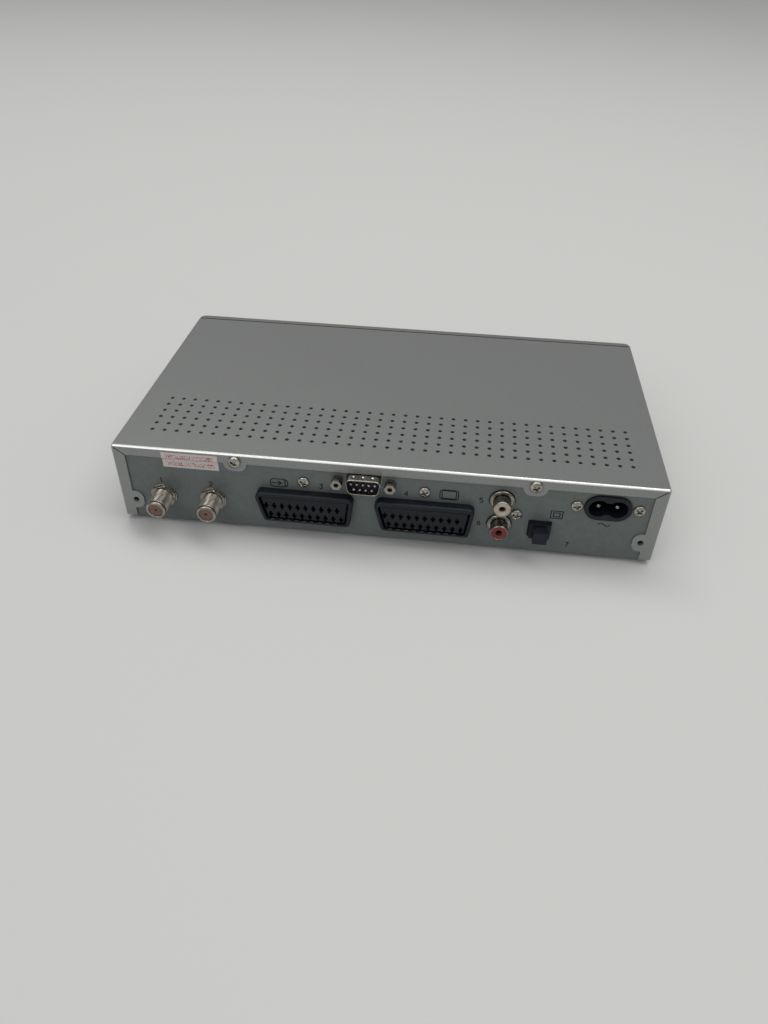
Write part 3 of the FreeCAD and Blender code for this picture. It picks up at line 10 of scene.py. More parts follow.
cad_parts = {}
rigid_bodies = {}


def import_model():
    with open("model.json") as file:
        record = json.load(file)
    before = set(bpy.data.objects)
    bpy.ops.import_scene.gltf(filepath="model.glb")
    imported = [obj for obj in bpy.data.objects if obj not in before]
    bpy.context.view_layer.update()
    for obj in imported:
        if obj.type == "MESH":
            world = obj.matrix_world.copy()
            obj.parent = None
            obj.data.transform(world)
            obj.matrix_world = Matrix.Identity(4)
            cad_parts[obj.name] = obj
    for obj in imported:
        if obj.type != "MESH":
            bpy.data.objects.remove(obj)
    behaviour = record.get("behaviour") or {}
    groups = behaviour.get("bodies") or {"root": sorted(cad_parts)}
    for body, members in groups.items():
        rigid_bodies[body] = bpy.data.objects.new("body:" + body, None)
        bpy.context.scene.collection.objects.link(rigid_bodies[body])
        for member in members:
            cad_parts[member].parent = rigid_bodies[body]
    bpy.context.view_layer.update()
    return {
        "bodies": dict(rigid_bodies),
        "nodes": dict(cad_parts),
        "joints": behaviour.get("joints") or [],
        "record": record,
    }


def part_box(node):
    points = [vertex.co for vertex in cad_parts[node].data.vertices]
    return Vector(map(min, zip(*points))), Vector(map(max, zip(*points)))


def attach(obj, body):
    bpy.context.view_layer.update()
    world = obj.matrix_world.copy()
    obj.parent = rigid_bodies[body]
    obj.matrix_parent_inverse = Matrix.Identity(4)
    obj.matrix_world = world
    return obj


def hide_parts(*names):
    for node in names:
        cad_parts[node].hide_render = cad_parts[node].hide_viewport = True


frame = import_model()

nodes = frame["nodes"]
mm = 0.001
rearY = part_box("top_cover")[1].y            # outer face of the cover's rear flange
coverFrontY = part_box("top_cover")[0].y      # the cover's front edge, where the bezel begins
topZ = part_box("top_cover")[1].z             # upper face of the cover
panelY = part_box("chassis_tray")[1].y        # outer face of the rear wall
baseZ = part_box("chassis_tray")[0].z         # underside of the case
print("frame loaded")


# node helpers

def newMaterial(name):
    material = bpy.data.materials.new(name)
    material.use_nodes = True
    tree = material.node_tree
    return material, tree, tree.nodes["Principled BSDF"]


def addNode(tree, kind, settings=None, **inputs):    # inputs go by name, or by number as i0, i1 and so on
    node = tree.nodes.new(kind)
    for key, setting in (settings or {}).items():
        setattr(node, key, setting)
    for key, given in inputs.items():
        socket = node.inputs[int(key[1:])] if key[0] == "i" and key[1:].isdigit() else node.inputs[key]
        if isinstance(given, bpy.types.NodeSocket):
            tree.links.new(given, socket)
        else:
            socket.default_value = given
    return node


def objectPlace(tree):
    return addNode(tree, "ShaderNodeTexCoord").outputs["Object"]


def noiseOf(tree, scale, detail=3, stretch=(1, 1, 1)):    # scale counts per metre of the piece
    mapped = addNode(tree, "ShaderNodeMapping", Vector=objectPlace(tree), Scale=stretch)
    noise = addNode(tree, "ShaderNodeTexNoise", Vector=mapped.outputs[0], Scale=scale, Detail=detail)
    return noise.outputs[0]


def rescaled(tree, value, span, result=(0, 1), settings=None):    # from one span of values to another
    ends = dict(zip(("i1", "i2", "i3", "i4"), (*span, *result)))
    return addNode(tree, "ShaderNodeMapRange", settings, Value=value, **ends).outputs[0]


def mathOf(tree, operation, *given):
    inputs = {f"i{index}": number for index, number in enumerate(given)}
    return addNode(tree, "ShaderNodeMath", {"operation": operation}, **inputs).outputs[0]


def mixColours(tree, share, first, second):    # the first where the share is 0, the second where it is 1
    ends = [end if isinstance(end, bpy.types.NodeSocket) else (*end, 1) for end in (first, second)]
    mix = addNode(tree, "ShaderNodeMix", {"data_type": "RGBA"}, i0=share, i6=ends[0], i7=ends[1])
    return mix.outputs[2]


# camera, lamps, room and floor

cameraLook = {
    "eye": (-29.74, 285.12, 246.44),        # mm from the middle of the cover's rear face, at the base
    "forward": (0.0785, -0.7752, -0.6269),
    "up": (0.0859, -0.6212, 0.7789),
    "lens": 27.147,
    "clip": (0.01, 50),
}


def makeCamera(look):
    data = bpy.data.cameras.new("camera")
    data.lens = look["lens"]
    data.clip_start, data.clip_end = look["clip"]
    camera = bpy.data.objects.new("camera", data)
    bpy.context.scene.collection.objects.link(camera)
    back = -Vector(look["forward"]).normalized()
    right = Vector(look["up"]).cross(back).normalized()
    turn = Matrix((right, back.cross(right), back)).transposed().to_4x4()
    eye = Vector(look["eye"]) * mm + Vector((0, rearY, baseZ))
    camera.matrix_world = Matrix.Translation(eye) @ turn
    bpy.context.scene.camera = camera


lampLook = {    # place in metres, size, power and colour
    "ceiling": ((-0.25, -0.45, 2.1), (3.4, 0.9), 37, (1, 0.99, 0.97)),
    "window": ((1.1, 1.7, 1.5), (1.2, 1.2), 8, (0.97, 0.98, 1)),
}


def makeLamp(name, place, size, power, colour):
    data = bpy.data.lights.new(name, "AREA")
    data.shape = "RECTANGLE"
    data.size, data.size_y = size
    data.energy = power
    data.color = colour
    lamp = bpy.data.objects.new(name, data)
    lamp.location = place
    lamp.rotation_mode = "QUATERNION"
    lamp.rotation_quaternion = (-Vector(place)).to_track_quat("-Z", "Y")
    bpy.context.scene.collection.objects.link(lamp)


roomLook = {
    "far": (0.215, 0.215, 0.213),     # sky on the side of the receiver's front, which its top mirrors
    "near": (0.86, 0.87, 0.88),       # sky above its rear
    "low": (0.34, 0.335, 0.33),       # what stands about on that side, low down
    "seen": (0.56, 0.56, 0.55),       # backdrop past the floor's edge, as the camera sees it
    "behind": (-0.7, 0.3),            # span of the direction's Y over which far turns to near
    "above": (0.25, 0.75),            # span of its Z over which low turns to near
}


def makeRoom(look):
    world = bpy.data.worlds.new("room")
    world.use_nodes = True
    tree = world.node_tree
    where = addNode(tree, "ShaderNodeTexCoord").outputs["Generated"]
    parts = addNode(tree, "ShaderNodeSeparateXYZ", Vector=where).outputs
    smooth = {"interpolation_type": "SMOOTHSTEP"}
    behind = rescaled(tree, parts["Y"], look["behind"], settings=smooth)
    above = rescaled(tree, parts["Z"], look["above"], settings=smooth)
    near = mixColours(tree, above, look["low"], look["near"])
    sky = mixColours(tree, behind, look["far"], near)
    direct = addNode(tree, "ShaderNodeLightPath").outputs["Is Camera Ray"]
    tree.links.new(mixColours(tree, direct, sky, look["seen"]), tree.nodes["Background"].inputs["Color"])
    bpy.context.scene.world = world
    bpy.context.scene.view_settings.view_transform = "Standard"


floorLook = {"colour": (0.5, 0.5, 0.49), "roughness": 0.7, "reach": 6}


def makeFloor(look):
    reach = look["reach"]
    corners = [(-reach, -reach, 0), (reach, -reach, 0), (reach, reach, 0), (-reach, reach, 0)]
    mesh = bpy.data.meshes.new("floor")
    mesh.from_pydata(corners, [], [(0, 1, 2, 3)])
    floor = bpy.data.objects.new("floor", mesh)
    bpy.context.scene.collection.objects.link(floor)
    material, _, shader = newMaterial("floorPaint")
    shader.inputs["Base Color"].default_value = (*look["colour"], 1)
    shader.inputs["Roughness"].default_value = look["roughness"]
    mesh.materials.append(material)


makeCamera(cameraLook)
for name, lamp in lampLook.items():
    makeLamp(name, *lamp)
makeRoom(roomLook)
makeFloor(floorLook)
print("camera, lamps, room and floor")


# finishes

surfaceLook = {"toneSpan": (0.35, 0.65), "toneDetail": 4, "glossScale": 2.3, "glossSpan": (0.3, 0.7),
               "grainDetail": 2, "grainStrength": 0.3, "coatRoughness": 0.14}


def surfaceMaterial(name, look):    # two mixed tones, uneven gloss and a fine bump, all from noise
    material, tree, shader = newMaterial(name)
    stretch = look.get("stretch", (1, 1, 1))
    tone = noiseOf(tree, look["toneScale"], surfaceLook["toneDetail"], stretch)
    ramp = addNode(tree, "ShaderNodeValToRGB", Fac=tone)
    tones = (look["dark"], look["light"])
    for stop, place, colour in zip(ramp.color_ramp.elements, surfaceLook["toneSpan"], tones):
        stop.position = place
        stop.color = (*colour, 1)
    tree.links.new(ramp.outputs["Color"], shader.inputs["Base Color"])
    gloss = noiseOf(tree, look["toneScale"] * surfaceLook["glossScale"])
    rough = rescaled(tree, gloss, surfaceLook["glossSpan"], look["rough"])
    tree.links.new(rough, shader.inputs["Roughness"])
    grain = noiseOf(tree, look["grainScale"], surfaceLook["grainDetail"], stretch)
    bump = addNode(tree, "ShaderNodeBump", Height=grain, Strength=surfaceLook["grainStrength"],
                   Distance=look["grain"] * mm)
    tree.links.new(bump.outputs[0], shader.inputs["Normal"])
    shader.inputs["Metallic"].default_value = look.get("metal", 0)
    shader.inputs["Coat Weight"].default_value = look.get("coat", 0)
    shader.inputs["Coat Roughness"].default_value = surfaceLook["coatRoughness"]
    shader.inputs["Specular IOR Level"].default_value = look.get("specular", 0.5)
    return material


finishes = {
    "coverPaint": {"dark": (0.235, 0.243, 0.238), "light": (0.262, 0.27, 0.266), "toneScale": 1600,
                   "rough": (0.3, 0.38), "grain": 0.02, "grainScale": 2600, "metal": 0.6, "coat": 0.35},
    "panelPaint": {"dark": (0.112, 0.128, 0.125), "light": (0.126, 0.142, 0.14), "toneScale": 420,
                   "rough": (0.38, 0.5), "grain": 0.015, "grainScale": 2400, "metal": 0.25},
    "bezelPaint": {"dark": (0.2, 0.2, 0.195), "light": (0.225, 0.225, 0.22), "toneScale": 1800,
                   "rough": (0.26, 0.34), "grain": 0.01, "grainScale": 2600, "metal": 0.5},
    "buttonPaint": {"dark": (0.3, 0.3, 0.3), "light": (0.34, 0.34, 0.34), "toneScale": 1500,
                    "rough": (0.22, 0.3), "grain": 0.01, "grainScale": 2600, "metal": 0.5},
    "smokedAcrylic": {"dark": (0.012, 0.013, 0.016), "light": (0.018, 0.018, 0.022), "toneScale": 60,
                      "rough": (0.04, 0.08), "grain": 0.002, "grainScale": 900, "coat": 0.5},
    "nickel": {"dark": (0.25, 0.232, 0.2), "light": (0.36, 0.338, 0.298), "toneScale": 300,
               "rough": (0.14, 0.24), "grain": 0.003, "grainScale": 1400, "metal": 1},
    "screwSteel": {"dark": (0.33, 0.315, 0.275), "light": (0.46, 0.442, 0.395), "toneScale": 300,
                   "rough": (0.14, 0.24), "grain": 0.003, "grainScale": 1400, "metal": 1},
    "coreResin": {"dark": (0.1, 0.055, 0.042), "light": (0.17, 0.1, 0.075), "toneScale": 500,
                  "rough": (0.45, 0.6), "grain": 0.03, "grainScale": 1500},
    "socketBlack": {"dark": (0.0045, 0.0055, 0.009), "light": (0.008, 0.0095, 0.015), "toneScale": 500,
                    "rough": (0.34, 0.48), "grain": 0.01, "grainScale": 1600, "specular": 0.3},
    "plugInsert": {"dark": (0.006, 0.011, 0.03), "light": (0.014, 0.022, 0.05), "toneScale": 500,
                   "rough": (0.35, 0.5), "grain": 0.02, "grainScale": 2000},
    "insertWhite": {"dark": (0.34, 0.3, 0.24), "light": (0.45, 0.41, 0.34), "toneScale": 300,
                    "rough": (0.3, 0.42), "grain": 0.01, "grainScale": 1800},
    "insertRed": {"dark": (0.12, 0.008, 0.014), "light": (0.18, 0.014, 0.025), "toneScale": 400,
                  "rough": (0.28, 0.4), "grain": 0.01, "grainScale": 1800},
    "contactTin": {"dark": (0.3, 0.28, 0.24), "light": (0.55, 0.52, 0.45), "toneScale": 900,
                   "rough": (0.25, 0.4), "grain": 0.01, "grainScale": 2000, "metal": 1},
    "contactBrass": {"dark": (0.06, 0.05, 0.035), "light": (0.12, 0.1, 0.07), "toneScale": 900,
                     "rough": (0.3, 0.45), "grain": 0.01, "grainScale": 2000, "metal": 1},
    "footRubber": {"dark": (0.014, 0.014, 0.014), "light": (0.03, 0.03, 0.03), "toneScale": 700,
                   "rough": (0.7, 0.9), "grain": 0.05, "grainScale": 1800},
    "boardMask": {"dark": (0.012, 0.075, 0.03), "light": (0.03, 0.15, 0.06), "toneScale": 260,
                  "rough": (0.25, 0.4), "grain": 0.03, "grainScale": 900, "coat": 0.3},
    "phenolic": {"dark": (0.2, 0.12, 0.045), "light": (0.32, 0.2, 0.08), "toneScale": 300,
                 "rough": (0.5, 0.65), "grain": 0.02, "grainScale": 1200},
    "chipResin": {"dark": (0.015, 0.015, 0.016), "light": (0.03, 0.03, 0.032), "toneScale": 600,
                  "rough": (0.45, 0.6), "grain": 0.02, "grainScale": 2200},
    "sinkMetal": {"dark": (0.42, 0.43, 0.44), "light": (0.58, 0.59, 0.6), "toneScale": 400,
                  "rough": (0.3, 0.45), "grain": 0.03, "grainScale": 1500, "metal": 1,
                  "stretch": (1, 0.05, 1)},
    "tinnedSteel": {"dark": (0.45, 0.46, 0.45), "light": (0.6, 0.61, 0.6), "toneScale": 200,
                    "rough": (0.25, 0.4), "grain": 0.02, "grainScale": 1200, "metal": 1},
    "sleeveBlue": {"dark": (0.01, 0.02, 0.06), "light": (0.02, 0.035, 0.1), "toneScale": 300,
                   "rough": (0.2, 0.3), "grain": 0.01, "grainScale": 1200, "coat": 0.3},
    "windingTape": {"dark": (0.5, 0.33, 0.04), "light": (0.65, 0.46, 0.08), "toneScale": 250,
                    "rough": (0.25, 0.35), "grain": 0.05, "grainScale": 500, "stretch": (0.2, 1, 4)},
    "ferrite": {"dark": (0.03, 0.03, 0.032), "light": (0.06, 0.06, 0.062), "toneScale": 500,
                "rough": (0.5, 0.7), "grain": 0.03, "grainScale": 1500},
    "fuseTube": {"dark": (0.6, 0.58, 0.52), "light": (0.75, 0.73, 0.68), "toneScale": 300,
                 "rough": (0.2, 0.3), "grain": 0.01, "grainScale": 1500},
    "wireSleeve": {"dark": (0.05, 0.07, 0.16), "light": (0.08, 0.11, 0.24), "toneScale": 400,
                   "rough": (0.35, 0.5), "grain": 0.02, "grainScale": 1500},
    "plungerGrey": {"dark": (0.3, 0.3, 0.28), "light": (0.38, 0.38, 0.36), "toneScale": 500,
                    "rough": (0.4, 0.5), "grain": 0.01, "grainScale": 1500},
    "lampRed": {"dark": (0.35, 0.02, 0.015), "light": (0.5, 0.04, 0.03), "toneScale": 300,
                "rough": (0.1, 0.2), "grain": 0.005, "grainScale": 900, "coat": 0.4},
    "holeBrown": {"dark": (0.05, 0.014, 0.01), "light": (0.09, 0.03, 0.02), "toneScale": 500,
                  "rough": (0.3, 0.45), "grain": 0.01, "grainScale": 1800, "metal": 0.4},
    "printInk": {"dark": (0.004, 0.005, 0.006), "light": (0.009, 0.01, 0.012), "toneScale": 3000,
                 "rough": (0.5, 0.6), "grain": 0.004, "grainScale": 3000, "specular": 0.2},
}
finish = {name: surfaceMaterial(name, look) for name, look in finishes.items()}

paintedLightLook = {    # painted light: colour of a band that ends so many mm before an edge's level, measured along a direction
    # painted highlight: a near-white band on the cover's rear bend, where the lamp's glint falls
    "coverPaint": {"along": (0, 1, 1), "edge": rearY + topZ, "from": 0.94, "full": 0.8,
                   "colour": (0.8, 0.8, 0.78)},
    # painted shade: a near-black band along the bezel where the cover's front edge meets it, in place of
    # the seam's shadow
    "bezelPaint": {"along": (0, 1, 0), "edge": coverFrontY, "from": 0.9, "full": 0.8,
                   "colour": (0.015, 0.015, 0.015)},
}


def paintLightBand(material, look):    # painted highlight along the rear bend, and painted shade in the bezel's joint
    tree = material.node_tree
    base = tree.nodes["Principled BSDF"].inputs["Base Color"]
    level = addNode(tree, "ShaderNodeVectorMath", {"operation": "DOT_PRODUCT"}, i0=objectPlace(tree),
                    i1=look["along"]).outputs["Value"]
    band = rescaled(tree, level, (look["edge"] - look["from"] * mm, look["edge"] - look["full"] * mm))
    tree.links.new(mixColours(tree, band, base.links[0].from_socket, look["colour"]), base)


for name, look in paintedLightLook.items():
    paintLightBand(finish[name], look)

sealLook = {
    "paper": (0.52, 0.485, 0.46), "ink": (0.34, 0.075, 0.08), "roughness": 0.62,
    "rows": 2, "rowHalf": 0.26, "widthHalf": 0.43,    # of a row's height and of the label's width
    "strokeScale": 900, "strokeStretch": (1, 1, 0.7), "strokeHalf": 0.045,
    "creaseScale": 160, "creaseDepth": 0.2, "creaseStrength": 0.5,
}


def sealMaterial(look):    # pale paper with rows of short red strokes that spell nothing
    material, tree, shader = newMaterial("sealPaper")
    low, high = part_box("seal_label")
    parts = addNode(tree, "ShaderNodeSeparateXYZ", Vector=objectPlace(tree)).outputs
    row = mathOf(tree, "FRACT", rescaled(tree, parts["Z"], (low.z, high.z), (0, look["rows"])))
    inRow = mathOf(tree, "COMPARE", row, 0.5, look["rowHalf"])
    inWidth = mathOf(tree, "COMPARE", parts["X"], (low.x + high.x) / 2,
                     (high.x - low.x) * look["widthHalf"])
    strokes = noiseOf(tree, look["strokeScale"], 1, look["strokeStretch"])
    drawn = mathOf(tree, "COMPARE", strokes, 0.5, look["strokeHalf"])
    inked = mathOf(tree, "MULTIPLY", mathOf(tree, "MULTIPLY", inRow, inWidth), drawn)
    tree.links.new(mixColours(tree, inked, look["paper"], look["ink"]), shader.inputs["Base Color"])
    creases = addNode(tree, "ShaderNodeBump", Height=noiseOf(tree, look["creaseScale"]),
                      Strength=look["creaseStrength"], Distance=look["creaseDepth"] * mm)
    tree.links.new(creases.outputs[0], shader.inputs["Normal"])
    shader.inputs["Roughness"].default_value = look["roughness"]
    return material


finish["sealPaper"] = sealMaterial(sealLook)

nodeFinish = {
    "coverPaint": ["top_cover"],
    "panelPaint": ["chassis_tray"],
    "bezelPaint": ["front_bezel", "card_flap"],
    "buttonPaint": ["standby_button", "channel_up_button", "channel_down_button"],
    "smokedAcrylic": ["display_window"],
    "nickel": ["satellite_input_barrel", "satellite_loop_barrel", "barrel_nuts", "serial_shell",
               "serial_jack_screws", "phono_shells", "mains_pins"],
    "screwSteel": ["cover_screws", "panel_screws", "board_screws"],
    "coreResin": ["barrel_insulators"],
    "socketBlack": ["recorder_scart_housing", "television_scart_housing", "mains_inlet", "optical_socket",
                    "optical_dust_plug", "phono_block", "tact_switches", "card_reader", "display_module"],
    "contactBrass": ["scart_contacts"],
    "plugInsert": ["serial_insulator"],
    "insertWhite": ["phono_insert_left"],
    "insertRed": ["phono_insert_right"],
    "contactTin": ["serial_pins", "board_posts"],
    "footRubber": ["rubber_feet"],
    "boardMask": ["main_board", "front_board"],
    "phenolic": ["power_board"],
    "chipResin": ["processor", "memory_chips", "infrared_receiver", "power_transistor"],
    "sinkMetal": ["processor_heat_sink", "power_heat_sink"],
    "tinnedSteel": ["tuner_can"],
    "sleeveBlue": ["electrolytic_capacitors", "bulk_capacitor"],
    "windingTape": ["transformer_winding"],
    "ferrite": ["transformer_core", "choke"],
    "fuseTube": ["fuse"],
    "wireSleeve": ["power_harness", "mains_leads", "serial_ribbon", "front_ribbon"],
    "plungerGrey": ["standby_plunger", "channel_up_plunger", "channel_down_plunger"],
    "lampRed": ["status_lamp"],
    "sealPaper": ["seal_label"],
}
for material, members in nodeFinish.items():
    for member in members:
        nodes[member].data.materials.clear()
        nodes[member].data.materials.append(finish[material])
print("materials on", sum(len(members) for members in nodeFinish.values()), "nodes")


# shapes worked out on grids, in mm across, out from the rear wall and up from the base

rootOut = -1    # where what stands on the rear wall begins, inside the wall's outer face


def middleOf(node):
    low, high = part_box(node)
    return (low.x + high.x) / 2 / mm, ((low.z + high.z) / 2 - baseZ) / mm


def outOf(node):    # how far the node stands out of the rear wall
    return (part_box(node)[1].y - panelY) / mm


def addPiece(name, material, slot, points, faces, body="case", sharp=35):
    place = np.asarray(points, float).reshape(-1, 3) * mm + (0, panelY, baseZ)
    mesh = bpy.data.meshes.new(name)
    mesh.from_pydata(place.tolist(), [], faces)
    shape = bmesh.new()
    shape.from_mesh(mesh)
    bmesh.ops.remove_doubles(shape, verts=shape.verts, dist=1e-7)
    bmesh.ops.recalc_face_normals(shape, faces=shape.faces)
    shape.to_mesh(mesh)
    shape.free()
    mesh.shade_smooth()
    mesh.set_sharp_from_angle(angle=math.radians(sharp))
    mesh.materials.append(finish[material])
    piece = bpy.data.objects.new(name, mesh)
    bpy.context.scene.collection.objects.link(piece)
    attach(piece, body)
    return piece


def joined(parts):    # several (points, faces) as one
    points, faces, start = [], [], 0
    for some, links in parts:
        some = np.asarray(some, float).reshape(-1, 3)
        points.append(some)
        faces += [[start + corner for corner in face] for face in links]
        start += len(some)
    return np.concatenate(points), faces


def gridFaces(rows, columns):    # quads between rows of points that close round on themselves
    row, column = np.meshgrid(np.arange(rows - 1), np.arange(columns), indexing="ij")
    here, after = row * columns + column, row * columns + (column + 1) % columns
    return np.stack([here, after, after + columns, here + columns], -1).reshape(-1, 4).tolist()


def roundAngles(sides):
    return np.linspace(0, 2 * math.pi, sides, endpoint=False)[None, :]


def aroundAxis(centre, radius, out, angle):    # centre plus radius times the angle's cosine and sine
    across = centre[0] + radius * np.cos(angle)
    up = centre[1] + radius * np.sin(angle)
    return np.stack([across, out + 0 * angle, up], -1)


def standing(line, out):    # an (across, up) line at one distance out
    return np.stack([line[:, 0], np.full(len(line), out), line[:, 1]], 1)


def softened(corners, cut, steps=4, closed=False):
    # each corner becomes a curve: start (1 - s)^2 + 2 corner s (1 - s) + end s^2, where start and end
    # lie on its sides, cut mm from it and at most halfway along
    corners = np.array(corners, float)
    before, after = np.roll(corners, 1, 0) - corners, np.roll(corners, -1, 0) - corners
    share = np.linspace(0, 1, steps + 1)[:, None]
    line = []
    for index, corner in enumerate(corners):
        if not closed and index in (0, len(corners) - 1):
            line.append(corner[None])
            continue
        start, end = (corner + side * min(cut / max(np.linalg.norm(side), 1e-9), 0.5)
                      for side in (before[index], after[index]))
        line.append(start * (1 - share) ** 2 + 2 * corner * share * (1 - share) + end * share ** 2)
    return np.concatenate(line)


def turned(profile, centre, sides=48, soft=0.12):    # softened (out, radius) corners turned about an axis
    line = softened(profile, soft, steps=3)
    return aroundAxis(centre, line[:, 1:], line[:, :1], roundAngles(sides)), gridFaces(len(line), sides)


def inset(corners, amounts):
    # each side's line moves inwards along its normal by its own amount, and a corner is where two
    # moved lines meet: normal times corner equals level, for both sides at once
    corners = np.array(corners, float)
    along = np.roll(corners, -1, 0) - corners
    along /= np.linalg.norm(along, axis=1)[:, None]
    normal = np.stack([-along[:, 1], along[:, 0]], 1)
    normal *= np.sign(((corners.mean(0) - corners) * normal).sum(1))[:, None]
    level = (normal * corners).sum(1) + amounts
    pairs = np.stack([np.roll(normal, 1, 0), normal], 1)
    return np.linalg.solve(pairs, np.stack([np.roll(level, 1), level], 1)[..., None])[..., 0]


def stacked(loops, closeEnd=True):    # (out, outline) loops of equal length joined into a skin
    count = len(loops[0][1])
    points = np.concatenate([standing(line, out) for out, line in loops])
    faces = gridFaces(len(loops), count)
    if closeEnd:
        faces.append(list(range(len(points) - count, len(points))))
    return points, faces


def boxOf(low, high):
    corners = [(x, y, z) for x in (low[0], high[0]) for y in (low[1], high[1]) for z in (low[2], high[2])]
    return corners, [[0, 1, 3, 2], [4, 6, 7, 5], [0, 4, 5, 1], [2, 3, 7, 6], [0, 2, 6, 4], [1, 5, 7, 3]]


# aerial barrels: thread of 32 turns to the inch, plain ring at the mouth, hexagonal nut over a washer

barrelLook = {
    "nodes": ("satellite_input_barrel", "satellite_loop_barrel"), "sides": 56,
    "radius": 4.76, "pitch": 25.4 / 32, "threadDepth": 0.5, "crestPower": 0.8, "rowsPerTurn": 10,
    "threadFrom": 1.8, "mouthRing": 1.5, "mouthBevel": 0.45, "soft": 0.2, "bore": 3.5, "boreFloor": 4.5,
    "neck": 0.4,    # how much thinner the part behind the thread is
}


def makeBarrel(name, look):
    centre, front, sides = middleOf(name), outOf(name), look["sides"]
    start, end = look["threadFrom"], front - look["mouthRing"]
    out = np.linspace(start, end, int((end - start) / look["pitch"] * look["rowsPerTurn"]))[:, None]
    angle = roundAngles(sides)
    # the wall dips by a cosine whose phase climbs one pitch for each turn round the axis, and the dip
    # fades out over the last pitch
    phase = 2 * math.pi * out / look["pitch"] + angle
    fade = np.clip((end - out) / look["pitch"], 0, 1)
    radius = look["radius"] - look["threadDepth"] * fade * (0.5 - 0.5 * np.cos(phase)) ** look["crestPower"]
    bevel, neck = look["mouthBevel"], look["radius"] - look["neck"]
    mouth, _ = turned([(end, look["radius"]), (front - bevel, look["radius"]),
                       (front, look["radius"] - bevel), (front, look["bore"]),
                       (look["boreFloor"], look["bore"]), (look["boreFloor"], 0)],
                      centre, sides, look["soft"])
    tail, _ = turned([(rootOut, 0), (rootOut, neck), (start, neck)], centre, sides)
    whole = np.concatenate([tail, aroundAxis(centre, radius, out, angle), mouth])
    piece = addPiece(name + "Thread", "nickel", "nickel", whole, gridFaces(len(whole), sides))
    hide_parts(name)


nutLook = {
    "washer": 6.5, "washerThickness": 0.55, "corner": 6.45, "height": 2.0, "hole": 4.6, "sides": 72,
    "turn": 0.35, "chamferDrop": 0.5, "chamferTop": 0.15, "chamferIn": 0.35, "faceIn": 0.1, "sharp": 25,
}


def barrelNut(centre, look):
    angle = roundAngles(look["sides"])
    sixth, top, base = math.pi / 3, look["height"], look["washerThickness"]
    # distance to a hexagon's side along each ray, and never more than a cone's radius at its outer end
    flat = look["corner"] * math.cos(sixth / 2)
    hexagon = flat / np.cos((angle + look["turn"]) % sixth - sixth / 2)
    beyond = 2 * look["corner"]
    rows = np.array([(base, beyond), (top - look["chamferDrop"], beyond),
                     (top - look["chamferTop"], look["corner"] - look["chamferIn"]),
                     (top, flat - look["faceIn"]), (top, look["hole"])])
    points = aroundAxis(centre, np.minimum(hexagon, rows[:, 1:]), rows[:, :1], angle)
    return points, gridFaces(len(rows), look["sides"])


def makeBarrelNuts(look):
    parts = []
    for name in barrelLook["nodes"]:
        centre, thick = middleOf(name), look["washerThickness"]
        parts.append(turned([(0, look["hole"]), (0, look["washer"]), (thick, look["washer"]),
                             (thick, look["hole"])], centre))
        parts.append(barrelNut(centre, look))
    piece = addPiece("barrelNuts", "nickel", "nickel", *joined(parts), sharp=look["sharp"])
    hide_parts("barrel_nuts")


for name in barrelLook["nodes"]:
    makeBarrel(name, barrelLook)
makeBarrelNuts(nutLook)
print("aerial barrels")


# SCART sockets: soft rim, narrow groove and a face with twenty cross-shaped slots

scartLook = {
    "wide": 23.4, "square": 23.9,    # from the middle to the slanted end and to the other one
    "top": 10.6, "bottom": 6.6, "corner": 1.9, "shoulder": 3.2, "slant": 3.7, "lean": 1.9, "up": 13.5,
    "reach": 4.6, "edge": 1.3, "edgeLean": 0.7, "edgePoints": 6, "bevel": 0.2,
    "rim": (1.8, 1.8, 1.2, 1.8, 1.8, 2.4),    # width of the rim on each side of the outline
    "groove": 0.85, "grooveDepth": 5, "setBack": 1.1, "pitch": 3.81, "rowLength": 10, "rowGap": 5.1,
    "slotHeight": 3.6, "slotWidth": 1.15, "barHeight": 1.15, "barWidth": 2.3, "slotDepth": 3.2,
    "outerSoft": 1.5, "rimSoft": 1.2, "grooveSoft": 0.9, "faceSoft": 0.8,    # rounding of the outlines
    "middles": {"recorder_scart_housing": 37.5, "television_scart_housing": -19.6},
}
tabLook = {"count": 9, "width": 1.7, "thickness": 0.35, "lift": 0.02, "back": (2.4, 0.5)}


def scartFace(outline, slots, spots, out, look):    # flat face round its slots, with the slots' walls
    rings = [outline] + slots
    starts = np.cumsum([0] + [len(ring) for ring in rings])
    edges = [(start + index, start + (index + 1) % len(ring))
             for start, ring in zip(starts.tolist(), rings) for index in range(len(ring))]
    found = delaunay_2d_cdt([Vector(point) for ring in rings for point in ring], edges, [], 1, 1e-6)
    flat, triangles = np.array(found[0]), np.array(found[2])
    # a triangle is left out where its middle lies within a slot's upright or its crossbar
    away = np.abs(flat[triangles].mean(1)[:, None] - spots)
    upright = (away < (look["slotWidth"] / 2, look["slotHeight"] / 2)).all(2)
    crossbar = (away < (look["barWidth"] / 2, look["barHeight"] / 2)).all(2)
    kept = triangles[~(upright | crossbar).any(1)]
    walls = [stacked([(out, slot), (out - look["slotDepth"], slot)]) for slot in slots]
    return [(standing(flat, out), kept.tolist())] + walls


